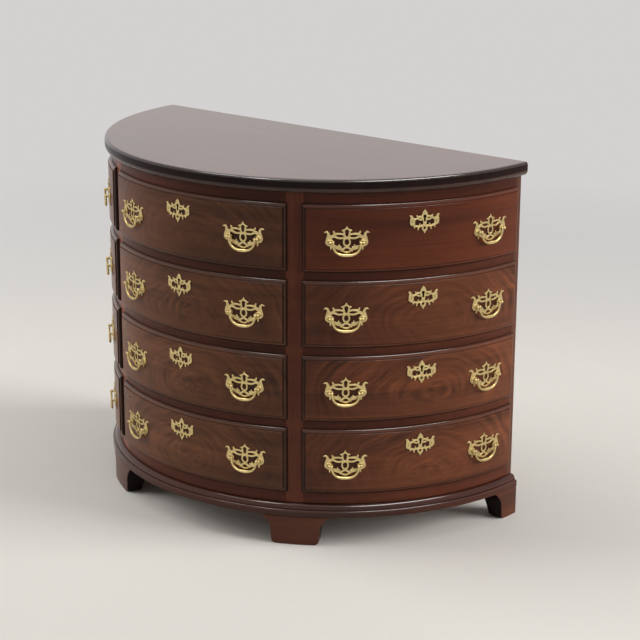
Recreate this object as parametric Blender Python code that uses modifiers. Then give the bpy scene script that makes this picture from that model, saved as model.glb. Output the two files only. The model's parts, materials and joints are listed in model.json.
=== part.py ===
# Demilune chest of drawers: a half-round case with three columns of four lipped drawers.
# Metres, +Z up. The flat back faces +Y, the bow faces -Y, and the origin is at the centre of the
# floor box. Plan angles are measured about the upright axis at the middle of the back,
# from the bow's centre line, positive towards +X.
from math import asin, cos, pi, radians, sin, tan

import bmesh
import bpy
from mathutils import Matrix, Vector

# Overall sizes
HEIGHT = 0.873
CASE_RADIUS = 0.558
TOP_OVERHANG = 0.017
BASE_OVERHANG = 0.018
COLUMNS = 3
ROWS = 4
GAP = 0.0003

# Top board: small round above, upright face, larger round below
TOP_THICKNESS = 0.033
TOP_UPPER_ROUND = 0.004
TOP_LOWER_ROUND = 0.013
TOP_REVEAL = 0.003

# Base: feet, then a moulded ring with a back rail
FOOT_HEIGHT = 0.070
FOOT_DEPTH = 0.058
FOOT_TOP_HALF = 0.080
FOOT_MIDDLE_HALF = 0.056
FOOT_FLOOR_HALF = 0.053
FOOT_BLOCK_SPARE = 0.040
BASE_HEIGHT = 0.0295
BASE_DEPTH = 0.080
BACK_RAIL_DEPTH = 0.058
BACK_RAIL_LAP = 0.020
BASE_UPPER_ROUND = 0.012
BASE_LOWER_ROUND = 0.005
BASE_STEP = 0.001

# Case: glued face frame, shelves with runners, back panel
FRAME_DEPTH = 0.022
STILE_WIDTH = 0.041
TOP_RAIL = 0.028
MIDDLE_RAIL = 0.0277
BOTTOM_RAIL = 0.031
SHELF_PANEL = 0.012
SHELF_RIM = 0.050
BACK_THICKNESS = 0.012
RUNNER_WIDTH = 0.024
RUNNER_HEIGHT = 0.009
RUNNER_START = 0.150
RUNNER_END_CLEARANCE = 0.014

# Drawers: lipped bowed front and a tapered open box
LIP_OVERLAP = 0.004
LIP_PROUD = 0.010
FRONT_DEPTH = 0.020
CORE_INTO_LIP = 0.0025
FRONT_SIDE_CLEARANCE = 0.0012
FRONT_TOP_CLEARANCE = 0.0015
FRONT_BOTTOM_CLEARANCE = 0.0010
BOX_WALL = 0.012
BOX_BOTTOM = 0.007
BOX_BOTTOM_RAISE = 0.014
BOX_TOP_CLEARANCE = 0.016
BOX_BACK = 0.150
GUIDE_WIDTH = 0.014
GUIDE_CLEARANCE = 0.0006
GUIDE_FLOOR_CLEARANCE = 0.001
GUIDE_LENGTH = 0.230

# Brass pulls: two posts carry a hanging bail
PULL_ANGLE = radians(18.0)
PULL_BELOW_LIP = 0.085
POST_SPACING = 0.076
POST_RADIUS = 0.0042
POST_SUNK = 0.004
BAIL_STANDOFF = 0.0085
BAIL_DROP = 0.0295
BAIL_RADIUS = 0.0024
BAIL_LEG_SHARE = 0.9
BAIL_SWELL_SHARE = 0.4
BAIL_PIN_RADIUS = 0.0015
BAIL_CLEARANCE = 0.0004
PIN_PAST_POST_CENTRE = 0.001

# Facets
WINDOW_STEPS = 10
TURNED_STEPS = 36
ROUND_STEPS = 4
POST_SIDES = 8
BAIL_STEPS = 10
SMOOTH_ANGLE = radians(25.0)
WELD = 0.00001

# Worked out from the sizes above
HALF_TURN = pi / 2
SECTOR = pi / COLUMNS
SECTOR_SLOPE = tan(SECTOR / 2)
TOP_RADIUS = CASE_RADIUS + TOP_OVERHANG
BASE_RADIUS = CASE_RADIUS + BASE_OVERHANG
BACK_Y = BASE_RADIUS / 2
STILE_HALF_ANGLE = asin(STILE_WIDTH / 2 / CASE_RADIUS)
WINDOW_HALF_ANGLE = SECTOR / 2 - STILE_HALF_ANGLE
COLUMN_ANGLES = [SECTOR * (i - (COLUMNS - 1) / 2) for i in range(COLUMNS)]
COLUMN_NAMES = ["left", "centre", "right"]
CASE_BOTTOM = FOOT_HEIGHT + BASE_HEIGHT
CASE_TOP = HEIGHT - TOP_THICKNESS
FRAME_INNER = CASE_RADIUS - FRAME_DEPTH
RAILS = TOP_RAIL + BOTTOM_RAIL + (ROWS - 1) * MIDDLE_RAIL
OPENING = (CASE_TOP - CASE_BOTTOM - RAILS) / ROWS
FACE_RADIUS = CASE_RADIUS + LIP_PROUD
FRONT_INNER = CASE_RADIUS - FRONT_DEPTH

FINISHES = {
    "mahogany": ((0.115, 0.030, 0.016, 1.0), 0.30, 0.0),
    "drawer_wood": ((0.420, 0.290, 0.160, 1.0), 0.60, 0.0),
    "case_wood": ((0.230, 0.130, 0.070, 1.0), 0.65, 0.0),
    "brass": ((0.690, 0.520, 0.230, 1.0), 0.25, 1.0),
}


def clear_scene():
    for obj in list(bpy.data.objects):
        bpy.data.objects.remove(obj, do_unlink=True)


def make_material(name):
    colour, roughness, metallic = FINISHES[name]
    material = bpy.data.materials.new(name)
    material.use_nodes = True
    shader = material.node_tree.nodes["Principled BSDF"]
    shader.inputs["Base Color"].default_value = colour
    shader.inputs["Roughness"].default_value = roughness
    shader.inputs["Metallic"].default_value = metallic
    return material


def polar(radius, angle):
    return (radius * sin(angle), -radius * cos(angle))


def arc(radius, angles):
    return [polar(radius, angle) for angle in angles]


def rectangle(half_width, front, back):
    return [(-half_width, front), (half_width, front), (half_width, back), (-half_width, back)]


def spread(start, end, steps):
    return [start + (end - start) * i / steps for i in range(steps + 1)]


def window_angles(middle, half=WINDOW_HALF_ANGLE):
    return spread(middle - half, middle + half, WINDOW_STEPS)


def case_angles():
    # Every curved case piece shares these angles, so facets that face each other stay parallel.
    angles = [-HALF_TURN]
    for middle in COLUMN_ANGLES:
        angles += window_angles(middle)
    return angles + [HALF_TURN]


def opening_bottom(row):
    # Rows count down from the top.
    return CASE_TOP - TOP_RAIL - OPENING * (row + 1) - MIDDLE_RAIL * row


def evaluated_mesh(obj, name):
    # The object's final mesh with loose caps welded and open ends filled; the object is removed.
    depsgraph = bpy.context.evaluated_depsgraph_get()
    mesh = bpy.data.meshes.new_from_object(obj.evaluated_get(depsgraph))
    mesh.name = name
    mesh.transform(obj.matrix_world)
    bpy.data.objects.remove(obj, do_unlink=True)
    tidy_mesh(mesh)
    return mesh


def tidy_mesh(mesh):
    shape = bmesh.new()
    shape.from_mesh(mesh)
    bmesh.ops.remove_doubles(shape, verts=shape.verts, dist=WELD)
    bmesh.ops.dissolve_degenerate(shape, edges=shape.edges, dist=WELD / 10)
    open_edges = [edge for edge in shape.edges if edge.is_boundary]
    bmesh.ops.holes_fill(shape, edges=open_edges, sides=0)
    bmesh.ops.recalc_face_normals(shape, faces=shape.faces)
    shape.to_mesh(mesh)
    shape.free()


def place(name, data):
    obj = bpy.data.objects.new(name, data)
    bpy.context.scene.collection.objects.link(obj)
    bpy.context.view_layer.update()
    return obj


def prism(name, outline, bottom, top):
    # An upright board: a flat plan outline given its thickness.
    curve = bpy.data.curves.new(name, "CURVE")
    curve.dimensions = "2D"
    curve.fill_mode = "BOTH"
    curve.extrude = (top - bottom) / 2
    spline = curve.splines.new("POLY")
    spline.points.add(len(outline) - 1)
    for point, (x, y) in zip(spline.points, outline):
        point.co = (x, y, 0, 1)
    spline.use_cyclic_u = True
    obj = place(name, curve)
    obj.location.z = (top + bottom) / 2
    bpy.context.view_layer.update()
    return evaluated_mesh(obj, name)


def turned_half(name, profile, closed):
    # A profile of (radius, height) turned half round, from +X through the bow to -X.
    mesh = bpy.data.meshes.new(name)
    edges = [(i, i + 1) for i in range(len(profile) - 1)]
    if closed:
        edges.append((len(profile) - 1, 0))
    mesh.from_pydata([(radius, 0, height) for radius, height in profile], edges, [])
    obj = place(name, mesh)
    screw = obj.modifiers.new("turn", "SCREW")
    screw.angle = -pi
    screw.steps = TURNED_STEPS
    screw.render_steps = TURNED_STEPS
    screw.use_merge_vertices = True
    screw.merge_threshold = WELD
    return evaluated_mesh(obj, name)


def round_corner(centre_radius, centre_height, radius, start, end):
    # Profile points on an arc; the angle is measured up from the outward direction.
    points = []
    for angle in spread(start, end, ROUND_STEPS):
        points.append((centre_radius + radius * cos(angle), centre_height + radius * sin(angle)))
    return points


def combine(base, steps):
    # Boolean steps on a mesh: each is (operation, other mesh).
    obj = place(base.name, base)
    others = []
    for operation, mesh in steps:
        other = place(mesh.name, mesh)
        other.hide_render = True
        other.display_type = "WIRE"
        others.append(other)
        modifier = obj.modifiers.new(operation.lower(), "BOOLEAN")
        modifier.operation = operation
        modifier.solver = "EXACT"
        modifier.object = other
    bpy.context.view_layer.update()
    mesh = evaluated_mesh(obj, base.name)
    for other in others:
        bpy.data.objects.remove(other, do_unlink=True)
    return mesh


def add_part(collection, name, mesh, material, parent=None, location=(0, 0, 0), turn=0.0):
    obj = bpy.data.objects.new(name, mesh)
    collection.objects.link(obj)
    obj.parent = parent
    obj.location = location
    obj.rotation_euler.z = turn
    if not mesh.materials:
        mesh.materials.append(material)
    mesh.shade_smooth()
    mesh.set_sharp_from_angle(angle=SMOOTH_ANGLE)
    return obj


def add_empty(collection, name, location, turn, parent=None):
    empty = bpy.data.objects.new(name, None)
    collection.objects.link(empty)
    empty.parent = parent
    empty.location = location
    empty.rotation_euler.z = turn
    return empty


def top_board_mesh():
    upper_centre = TOP_RADIUS - TOP_UPPER_ROUND
    lower_width = TOP_OVERHANG - TOP_REVEAL
    profile = [(0.0, HEIGHT)]
    profile += round_corner(upper_centre, HEIGHT - TOP_UPPER_ROUND, TOP_UPPER_ROUND, pi / 2, 0.0)
    for angle in spread(0.0, pi / 2, ROUND_STEPS):
        radius = TOP_RADIUS - lower_width * (1 - cos(angle))
        profile.append((radius, CASE_TOP + TOP_LOWER_ROUND * (1 - sin(angle))))
    profile.append((0.0, CASE_TOP))
    return turned_half("top_board", profile, closed=False)


def base_frame_mesh():
    # Two stacked rounds step out from the case, above an upright fascia; a rail closes the back.
    inner = BASE_RADIUS - BASE_DEPTH
    top = CASE_BOTTOM - GAP
    lower_start = BASE_RADIUS - BASE_LOWER_ROUND
    upper_start = lower_start - BASE_STEP - BASE_UPPER_ROUND
    upper_end = top - BASE_UPPER_ROUND
    profile = [(inner, top)]
    profile += round_corner(upper_start, upper_end, BASE_UPPER_ROUND, pi / 2, 0.0)
    lower_end = upper_end - BASE_STEP - BASE_LOWER_ROUND
    profile += round_corner(lower_start, lower_end, BASE_LOWER_ROUND, pi / 2, 0.0)
    profile += [(BASE_RADIUS, FOOT_HEIGHT), (inner, FOOT_HEIGHT)]
    ring = turned_half("base_frame", profile, closed=True)
    outline = rectangle(inner + BACK_RAIL_LAP, -BACK_RAIL_DEPTH, 0.0)
    return combine(ring, [("UNION", prism("back_rail", outline, FOOT_HEIGHT, top))])


def face_frame_mesh():
    # A half-round shell of posts and rails, open at each column.
    angles = case_angles()
    outline = arc(CASE_RADIUS, angles) + arc(FRAME_INNER, reversed(angles))
    shell = prism("face_frame", outline, CASE_BOTTOM, CASE_TOP - GAP)
    cuts = []
    for middle in COLUMN_ANGLES:
        across = window_angles(middle)
        window = arc(CASE_RADIUS + FRAME_DEPTH, across) + arc(FRAME_INNER - FRAME_DEPTH, reversed(across))
        cuts.append(("DIFFERENCE", prism("window", window, CASE_BOTTOM + BOTTOM_RAIL, CASE_TOP - TOP_RAIL)))
    return combine(shell, cuts)


def runner_outline(middle):
    # A strip on the column's centre line, as (x, y) about the axis.
    along = Vector(polar(1.0, middle))
    across = Vector((-along.y, along.x)) * (RUNNER_WIDTH / 2)
    start = along * RUNNER_START
    end = along * (FRONT_INNER - RUNNER_END_CLEARANCE)
    return [tuple(point) for point in (start - across, end - across, end + across, start + across)]


def shelf_mesh(name, outline, bottom, top):
    # A board with a deep rim, a thinner panel flush with its top and a runner for each drawer.
    inner = FRAME_INNER - SHELF_RIM
    back = BACK_THICKNESS + SHELF_RIM
    reach = asin(back / inner)
    across = spread(reach - HALF_TURN, HALF_TURN - reach, TURNED_STEPS // 2)
    recess = prism("recess", arc(inner, across), bottom - SHELF_RIM, top - SHELF_PANEL)
    steps = [("DIFFERENCE", recess)]
    for middle in COLUMN_ANGLES:
        runner = prism("runner", runner_outline(middle), top - SHELF_PANEL / 2, top + RUNNER_HEIGHT)
        steps.append(("UNION", runner))
    return combine(prism(name, outline, bottom, top), steps)


def back_edge(outline):
    # Stops a plan outline at the inner face of the back panel.
    limit = -BACK_THICKNESS - GAP
    return [(x, min(y, limit)) for x, y in outline]


def dust_board_outline():
    # The rim shows between the posts and is notched round them.
    notch = FRAME_INNER - GAP
    slack = GAP / CASE_RADIUS
    outline = [polar(notch, -HALF_TURN)]
    for middle in COLUMN_ANGLES:
        across = window_angles(middle)
        first = across[0] + slack
        last = across[-1] - slack
        rim = [first] + across[1:-1] + [last]
        outline += [polar(notch, first)] + arc(CASE_RADIUS, rim) + [polar(notch, last)]
    return back_edge(outline + [polar(notch, HALF_TURN)])


def bottom_board_outline():
    return back_edge(arc(FRAME_INNER - GAP, case_angles()))


def back_panel_mesh():
    outline = rectangle(FRAME_INNER - GAP, -BACK_THICKNESS, 0.0)
    return prism("back_panel", outline, CASE_BOTTOM, CASE_TOP - GAP)


def bracket_outline():
    # Face view of a bracket foot as (across, height): a curved shoulder, then a straight side.
    side = []
    for share in spread(0.0, 1.0, ROUND_STEPS):
        half = FOOT_MIDDLE_HALF + (FOOT_TOP_HALF - FOOT_MIDDLE_HALF) * share * share
        side.append((half, FOOT_HEIGHT / 2 + (FOOT_HEIGHT / 2 - GAP) * share))
    right = [(FOOT_FLOOR_HALF, 0.0)] + side
    return right + [(-across, height) for across, height in reversed(right)]


def foot_mesh(middle):
    # The bracket's face follows the base ring; feet at the ends stop at the back plane.
    reach = (FOOT_TOP_HALF + FOOT_BLOCK_SPARE) / BASE_RADIUS
    first = max(middle - reach, -HALF_TURN)
    last = min(middle + reach, HALF_TURN)
    across = spread(first, last, WINDOW_STEPS)
    outer = arc(BASE_RADIUS, across)
    inner = arc(BASE_RADIUS - FOOT_DEPTH, reversed(across))
    block = prism("foot", outer + inner, 0.0, FOOT_HEIGHT - GAP)
    bracket = prism("bracket", bracket_outline(), -BASE_RADIUS, BASE_RADIUS)
    # Upright, with its thickness along the foot's own radial direction
    bracket.transform(Matrix.Rotation(middle, 4, "Z") @ Matrix.Rotation(pi / 2, 4, "X"))
    far_side = Vector(polar(BASE_RADIUS, middle)).to_3d()
    bracket.transform(Matrix.Translation(far_side))
    return combine(block, [("INTERSECT", bracket)])


def drawer_front_mesh():
    # Heights are from the opening's lower edge; the column's centre line points to -Y.
    lip_half = WINDOW_HALF_ANGLE + LIP_OVERLAP / CASE_RADIUS
    core_half = WINDOW_HALF_ANGLE - FRONT_SIDE_CLEARANCE / CASE_RADIUS
    inner_steps = window_angles(0.0)[1:-1]
    lip_angles = [-lip_half] + inner_steps + [lip_half]
    core_angles = [-core_half] + inner_steps + [core_half]
    lip_back = CASE_RADIUS + GAP
    core_front = lip_back + CORE_INTO_LIP
    lip_outline = arc(FACE_RADIUS, lip_angles) + arc(lip_back, reversed(lip_angles))
    core_outline = arc(core_front, core_angles) + arc(FRONT_INNER, reversed(core_angles))
    lip = prism("drawer_front", lip_outline, -LIP_OVERLAP, OPENING + LIP_OVERLAP)
    core_top = OPENING - FRONT_TOP_CLEARANCE
    steps = [("UNION", prism("core", core_outline, FRONT_BOTTOM_CLEARANCE, core_top))]
    for side in (-1, 1):
        for post in (-1, 1):
            steps += post_steps(side * PULL_ANGLE, post)
    return combine(lip, steps)


def pull_frame(angle):
    # The pull's own axes: X along its hinge, -Y away from the drawer, origin on the hinge line.
    height = OPENING + LIP_OVERLAP - PULL_BELOW_LIP
    hinge = Vector(polar(FACE_RADIUS + BAIL_STANDOFF, angle)).to_3d()
    hinge.z = height
    return Matrix.Translation(hinge) @ Matrix.Rotation(angle, 4, "Z")


def cylinder(name, radius, start, end, axis):
    shape = bmesh.new()
    turn = Matrix.Rotation(pi / 2, 4, "X" if axis == "Y" else "Y")
    flat = Matrix.Rotation(pi / POST_SIDES, 4, "Z")
    centre = (0, (start + end) / 2, 0) if axis == "Y" else ((start + end) / 2, 0, 0)
    bmesh.ops.create_cone(
        shape, cap_ends=True, segments=POST_SIDES, radius1=radius, radius2=radius,
        depth=abs(end - start), matrix=Matrix.Translation(centre) @ turn @ flat)
    mesh = bpy.data.meshes.new(name)
    shape.to_mesh(mesh)
    shape.free()
    return mesh


def post_steps(angle, side):
    # A post standing out of the front, with a blind hole on its inner side for the bail's pin.
    frame = pull_frame(angle)
    at_post = frame @ Matrix.Translation((side * POST_SPACING / 2, 0, 0))
    post = cylinder("post", POST_RADIUS, -POST_RADIUS, BAIL_STANDOFF + POST_SUNK, "Y")
    post.transform(at_post)
    hole_radius = (BAIL_PIN_RADIUS + BAIL_CLEARANCE) / cos(pi / POST_SIDES)
    hole_end = side * (PIN_PAST_POST_CENTRE + BAIL_CLEARANCE)
    hole = cylinder("pin_hole", hole_radius, -side * 2 * POST_RADIUS, hole_end, "X")
    hole.transform(at_post)
    return [("UNION", post), ("DIFFERENCE", hole)]


def taper(half_front, front, back):
    # A plan outline that narrows towards the back along the column's sides, with a peaked front.
    half_back = half_front - (back - front) * SECTOR_SLOPE
    peak = (0.0, front - half_front * SECTOR_SLOPE)
    return [peak, (half_front, front), (half_back, back), (-half_back, back), (-half_front, front)]


def drawer_box_mesh():
    # A tapered box, open at the top and at the front, where the drawer front closes it.
    face = FRONT_INNER - GAP
    corner_angle = WINDOW_HALF_ANGLE - FRONT_SIDE_CLEARANCE / CASE_RADIUS
    corner_x, corner_y = polar(face, corner_angle)
    back_half = corner_x - (-BOX_BACK - corner_y) * SECTOR_SLOPE
    outline = arc(face, window_angles(0.0, corner_angle)) + [(back_half, -BOX_BACK), (-back_half, -BOX_BACK)]
    inside_half = corner_x - BOX_WALL / cos(SECTOR / 2)
    top = OPENING - BOX_TOP_CLEARANCE
    bottom_top = BOX_BOTTOM_RAISE + BOX_BOTTOM
    # Both cuts start in front of the box, so that they open its front end.
    cut_front = corner_y - FRONT_DEPTH
    cut_half = inside_half + FRONT_DEPTH * SECTOR_SLOPE
    room = prism("room", taper(cut_half, cut_front, -BOX_BACK - BOX_WALL), bottom_top, top + BOX_WALL)
    below = prism("below", taper(cut_half, cut_front, -BOX_BACK + BOX_WALL), -BOX_WALL, BOX_BOTTOM_RAISE)
    steps = [("DIFFERENCE", room), ("DIFFERENCE", below)]
    near_runner = RUNNER_WIDTH / 2 + GUIDE_CLEARANCE
    guide_top = BOX_BOTTOM_RAISE + BOX_BOTTOM / 2
    for side in (-1, 1):
        strip = rectangle(GUIDE_WIDTH / 2, -BOX_BACK - BOX_WALL - GUIDE_LENGTH, -BOX_BACK - BOX_WALL)
        centre = side * (near_runner + GUIDE_WIDTH / 2)
        strip = [(x + centre, y) for x, y in strip]
        steps.append(("UNION", prism("guide", strip, GUIDE_FLOOR_CLEARANCE, guide_top)))
    return combine(prism("drawer_box", outline, GAP, top), steps)


def bail_mesh():
    # A drop handle on its hinge line: a pin at each end, then a round sweep that is thickest below.
    leg = POST_SPACING / 2 - POST_RADIUS - BAIL_RADIUS - BAIL_CLEARANCE
    tip = POST_SPACING / 2 + PIN_PAST_POST_CENTRE
    pin_share = BAIL_PIN_RADIUS / BAIL_RADIUS
    stations = [(-tip, 0.0, pin_share), (-leg - BAIL_RADIUS / 2, 0.0, pin_share)]
    for angle in spread(0.0, pi, BAIL_STEPS):
        thickness = BAIL_LEG_SHARE + BAIL_SWELL_SHARE * sin(angle) ** 4
        stations.append((-leg * cos(angle), -BAIL_DROP * sin(angle), thickness))
    stations += [(leg + BAIL_RADIUS / 2, 0.0, pin_share), (tip, 0.0, pin_share)]
    curve = bpy.data.curves.new("bail", "CURVE")
    curve.dimensions = "3D"
    curve.bevel_depth = BAIL_RADIUS
    curve.bevel_resolution = 1
    curve.use_fill_caps = True
    spline = curve.splines.new("POLY")
    spline.points.add(len(stations) - 1)
    for point, (x, z, thickness) in zip(spline.points, stations):
        point.co = (x, 0.0, z, 1)
        point.radius = thickness
    return evaluated_mesh(place("bail", curve), "bail")


def build_case(collection, axis, materials):
    mahogany = materials["mahogany"]
    case_wood = materials["case_wood"]
    add_part(collection, "top_board", top_board_mesh(), mahogany, axis)
    add_part(collection, "face_frame", face_frame_mesh(), mahogany, axis)
    add_part(collection, "base_frame", base_frame_mesh(), mahogany, axis)
    add_part(collection, "back_panel", back_panel_mesh(), case_wood, axis)
    bottom = shelf_mesh("bottom_board", bottom_board_outline(), CASE_BOTTOM, opening_bottom(ROWS - 1))
    add_part(collection, "bottom_board", bottom, case_wood, axis)
    for row in range(ROWS - 1):
        name = f"dust_board_{row + 1}"
        top = opening_bottom(row)
        mesh = shelf_mesh(name, dust_board_outline(), top - MIDDLE_RAIL, top)
        add_part(collection, name, mesh, mahogany, axis)
    foot_names = ["foot_rear_left", "foot_front_left", "foot_front_right", "foot_rear_right"]
    for name, middle in zip(foot_names, spread(-HALF_TURN, HALF_TURN, COLUMNS)):
        add_part(collection, name, foot_mesh(middle), mahogany, axis)


def build_drawers(collection, axis, materials):
    front = drawer_front_mesh()
    box = drawer_box_mesh()
    bail = bail_mesh()
    for column, turn in zip(COLUMN_NAMES, COLUMN_ANGLES):
        for row in range(ROWS):
            tag = f"{column}_{row + 1}"
            slide = add_empty(collection, f"slide_{tag}", (0, 0, opening_bottom(row)), turn, axis)
            add_part(collection, f"drawer_front_{tag}", front, materials["mahogany"], slide)
            add_part(collection, f"drawer_box_{tag}", box, materials["drawer_wood"], slide)
            for side, angle in (("l", -PULL_ANGLE), ("r", PULL_ANGLE)):
                hinge = pull_frame(angle).to_translation()
                name = f"bail_{tag}_{side}"
                add_part(collection, name, bail, materials["brass"], slide, hinge, angle)


def main():
    clear_scene()
    collection = bpy.data.collections.new("demilune_chest")
    bpy.context.scene.collection.children.link(collection)
    materials = {name: make_material(name) for name in FINISHES}
    axis = add_empty(collection, "back_axis", (0, BACK_Y, 0), 0.0)
    build_case(collection, axis, materials)
    build_drawers(collection, axis, materials)


main()
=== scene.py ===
import json
from math import asin, atan2, cos, hypot, pi, radians, sin, sqrt, tan

import bmesh
import bpy
import numpy as np
from mathutils import Matrix, Quaternion, Vector

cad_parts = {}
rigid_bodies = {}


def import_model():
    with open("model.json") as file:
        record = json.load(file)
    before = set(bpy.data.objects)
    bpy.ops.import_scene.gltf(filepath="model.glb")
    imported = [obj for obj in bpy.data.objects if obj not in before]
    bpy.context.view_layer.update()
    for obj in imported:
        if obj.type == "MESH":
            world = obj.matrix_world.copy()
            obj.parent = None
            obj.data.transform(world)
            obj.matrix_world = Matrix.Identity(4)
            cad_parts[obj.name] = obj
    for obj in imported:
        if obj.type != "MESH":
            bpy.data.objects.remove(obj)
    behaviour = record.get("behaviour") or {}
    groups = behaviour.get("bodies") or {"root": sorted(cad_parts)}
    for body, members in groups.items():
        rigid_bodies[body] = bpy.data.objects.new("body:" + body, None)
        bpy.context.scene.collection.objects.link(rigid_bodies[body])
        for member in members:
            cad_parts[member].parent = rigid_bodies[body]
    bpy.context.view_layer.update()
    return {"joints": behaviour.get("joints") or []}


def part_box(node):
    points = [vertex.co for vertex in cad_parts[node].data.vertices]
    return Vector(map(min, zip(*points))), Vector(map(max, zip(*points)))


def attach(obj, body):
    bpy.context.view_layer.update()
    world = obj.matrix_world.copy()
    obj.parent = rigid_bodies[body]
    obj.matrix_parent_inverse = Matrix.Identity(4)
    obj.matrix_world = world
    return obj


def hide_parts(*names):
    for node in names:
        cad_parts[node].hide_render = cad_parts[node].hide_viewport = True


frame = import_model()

# The chest is laid out about the upright axis at the middle of its flat back.
# Plan angles turn from the bow's centre line, positive towards +X.
topLow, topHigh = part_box("top_board")
caseLow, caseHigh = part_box("face_frame")
baseLow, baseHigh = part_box("base_frame")
panelLow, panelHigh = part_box("back_panel")
lipLow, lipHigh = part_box("drawer_front_centre_1")
topRadius, caseRadius, baseRadius = topHigh.x, caseHigh.x, baseHigh.x
axisPlace = Matrix.Translation((0, topHigh.y, 0))
rowCount = 4
quarterTurn = pi / 2
stileTurn = pi / 6  # the front stiles stand this far round from the centre line
gap = 0.0003  # between pieces that touch
weldReach = 1e-6  # points nearer than this are one

case = {
    "stileWidth": 0.041, "frameDepth": 0.022, "topRail": 0.028, "middleRail": 0.0277,
    "bottomRail": 0.031, "edgeRound": 0.0005, "shelfRim": 0.050, "shelfPanel": 0.012,
    "runnerWidth": 0.024, "runnerHeight": 0.009, "runnerStart": 0.150, "runnerEnd": 0.524,
    "runnerRound": 0.0012,
    "rimEnd": 0.024,  # angle by which the bottom's rim stops short of the back
    "lipOverlap": 0.004,  # how far a drawer's lip laps over the frame
    "postSteps": 8, "railSteps": 32, "panelSteps": 64,
}
stileHalf = asin(case["stileWidth"] / 2 / caseRadius)
windowHalf = stileTurn - stileHalf
frameInner = caseRadius - case["frameDepth"]
shelfInner = frameInner - case["shelfRim"]
opening = lipHigh.z - lipLow.z - 2 * case["lipOverlap"]
lipTop = opening + case["lipOverlap"]  # above the opening's lower edge

columnTurns = {}
for joint in frame["joints"]:
    if joint["type"] == "slide":
        columnTurns[joint["name"].split("_")[1]] = atan2(joint["axis"][0], -joint["axis"][1])


# Mesh tools

def polar(radius, angle, height=0.0):
    return Vector((radius * sin(angle), -radius * cos(angle), height))


def spread(start, end, steps):
    return [start + (end - start) * i / steps for i in range(steps + 1)]


def skin(shape, rings, caps=True):
    # Joins equal rings of points, one after another, and closes both ends
    rows = [[shape.verts.new(point) for point in ring] for ring in rings]
    count = len(rows[0])
    for lower, upper in zip(rows, rows[1:]):
        for i in range(count):
            j = (i + 1) % count
            shape.faces.new((lower[i], lower[j], upper[j], upper[i]))
    if caps:
        shape.faces.new(rows[0][::-1])
        shape.faces.new(rows[-1])


def sweepArc(shape, profile, angles):
    # Carries a closed (radius, height) profile round the axis
    skin(shape, [[polar(radius, angle, height) for radius, height in profile] for angle in angles])


def prism(shape, outline, below, above):
    skin(shape, [[(x, y, z) for x, y in outline] for z in (below, above)])


def block(shape, low, high):
    outline = [(low[0], low[1]), (high[0], low[1]), (high[0], high[1]), (low[0], high[1])]
    prism(shape, outline, low[2], high[2])


def turned(shape, profile, place, sides, petals=0):
    # A lathe profile of (radius, distance along the axis, flute depth), axis along local Z
    angles = [2 * pi * i / sides for i in range(sides)]
    rings = []
    for radius, along, *flute in profile:
        reach = [radius - sum(flute) * (0.5 - 0.5 * cos(petals * a)) for a in angles]
        rings.append([place @ Vector((r * cos(a), r * sin(a), along)) for r, a in zip(reach, angles)])
    skin(shape, rings)


def toMesh(shape, name, weld=weldReach):
    # Closes a bmesh shape into a mesh
    bmesh.ops.remove_doubles(shape, verts=shape.verts, dist=weld)
    bmesh.ops.dissolve_degenerate(shape, edges=shape.edges, dist=weld)
    bmesh.ops.recalc_face_normals(shape, faces=shape.faces)
    mesh = bpy.data.meshes.new(name)
    shape.to_mesh(mesh)
    shape.free()
    return mesh


def made(name, build, *measures):
    # A mesh from one of the shape builders
    shape = bmesh.new()
    build(shape, *measures)
    return toMesh(shape, name)


def joinMeshes(name, meshes):
    shape = bmesh.new()
    for mesh in meshes:
        shape.from_mesh(mesh)
    joined = bpy.data.meshes.new(name)
    shape.to_mesh(joined)
    shape.free()
    return joined


def linked(name, data):
    obj = bpy.data.objects.new(name, data)
    bpy.context.scene.collection.objects.link(obj)
    return obj


def settle(obj):
    # The mesh with its modifiers made real; the helper object goes
    bpy.context.view_layer.update()
    graph = bpy.context.evaluated_depsgraph_get()
    mesh = bpy.data.meshes.new_from_object(obj.evaluated_get(graph))
    bpy.data.objects.remove(obj, do_unlink=True)
    return mesh


def eased(mesh, width, segments=2, angle=35.0):
    # Softens the arrises of joinery
    obj = linked("helper", mesh)
    bevel = obj.modifiers.new("eased", "BEVEL")
    bevel.width = width
    bevel.segments = segments
    bevel.limit_method = "ANGLE"
    bevel.angle_limit = radians(angle)
    bevel.harden_normals = True
    mesh.shade_smooth()
    return settle(obj)


def carved(mesh, steps):
    # Boolean steps: (operation, cutter mesh)
    obj = linked("helper", mesh)
    cutters = []
    for operation, cutter in steps:
        cutters.append(linked("helper", cutter))
        boolean = obj.modifiers.new(operation, "BOOLEAN")
        boolean.operation = operation
        boolean.solver = "EXACT"
        boolean.object = cutters[-1]
    result = settle(obj)
    for cutter in cutters:
        bpy.data.objects.remove(cutter, do_unlink=True)
    return result


def smoothed(mesh, angle=40.0):
    mesh.shade_smooth()
    mesh.set_sharp_from_angle(angle=radians(angle))
    return mesh


# Grain directions: each gives (along the grain, across it, through the board) in metres

def grainRound(point):
    return (caseRadius * atan2(point.x, -point.y), point.z, hypot(point.x, point.y))


def grainUpright(point):
    return (point.z, caseRadius * atan2(point.x, -point.y), hypot(point.x, point.y))


def grainAcross(point):
    return (point.x, point.y, point.z)


def grainDeep(point):
    return (point.y, point.x, point.z)


def grainTall(point):
    return (point.z, point.x, point.y)


def grainSlant(side):
    # Along a drawer side, which leans in towards the back
    lean = Vector((side * sin(stileTurn), -cos(stileTurn)))

    def direction(point):
        return (point.x * lean.x + point.y * lean.y, point.z, point.x * lean.y - point.y * lean.x)
    return direction


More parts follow.
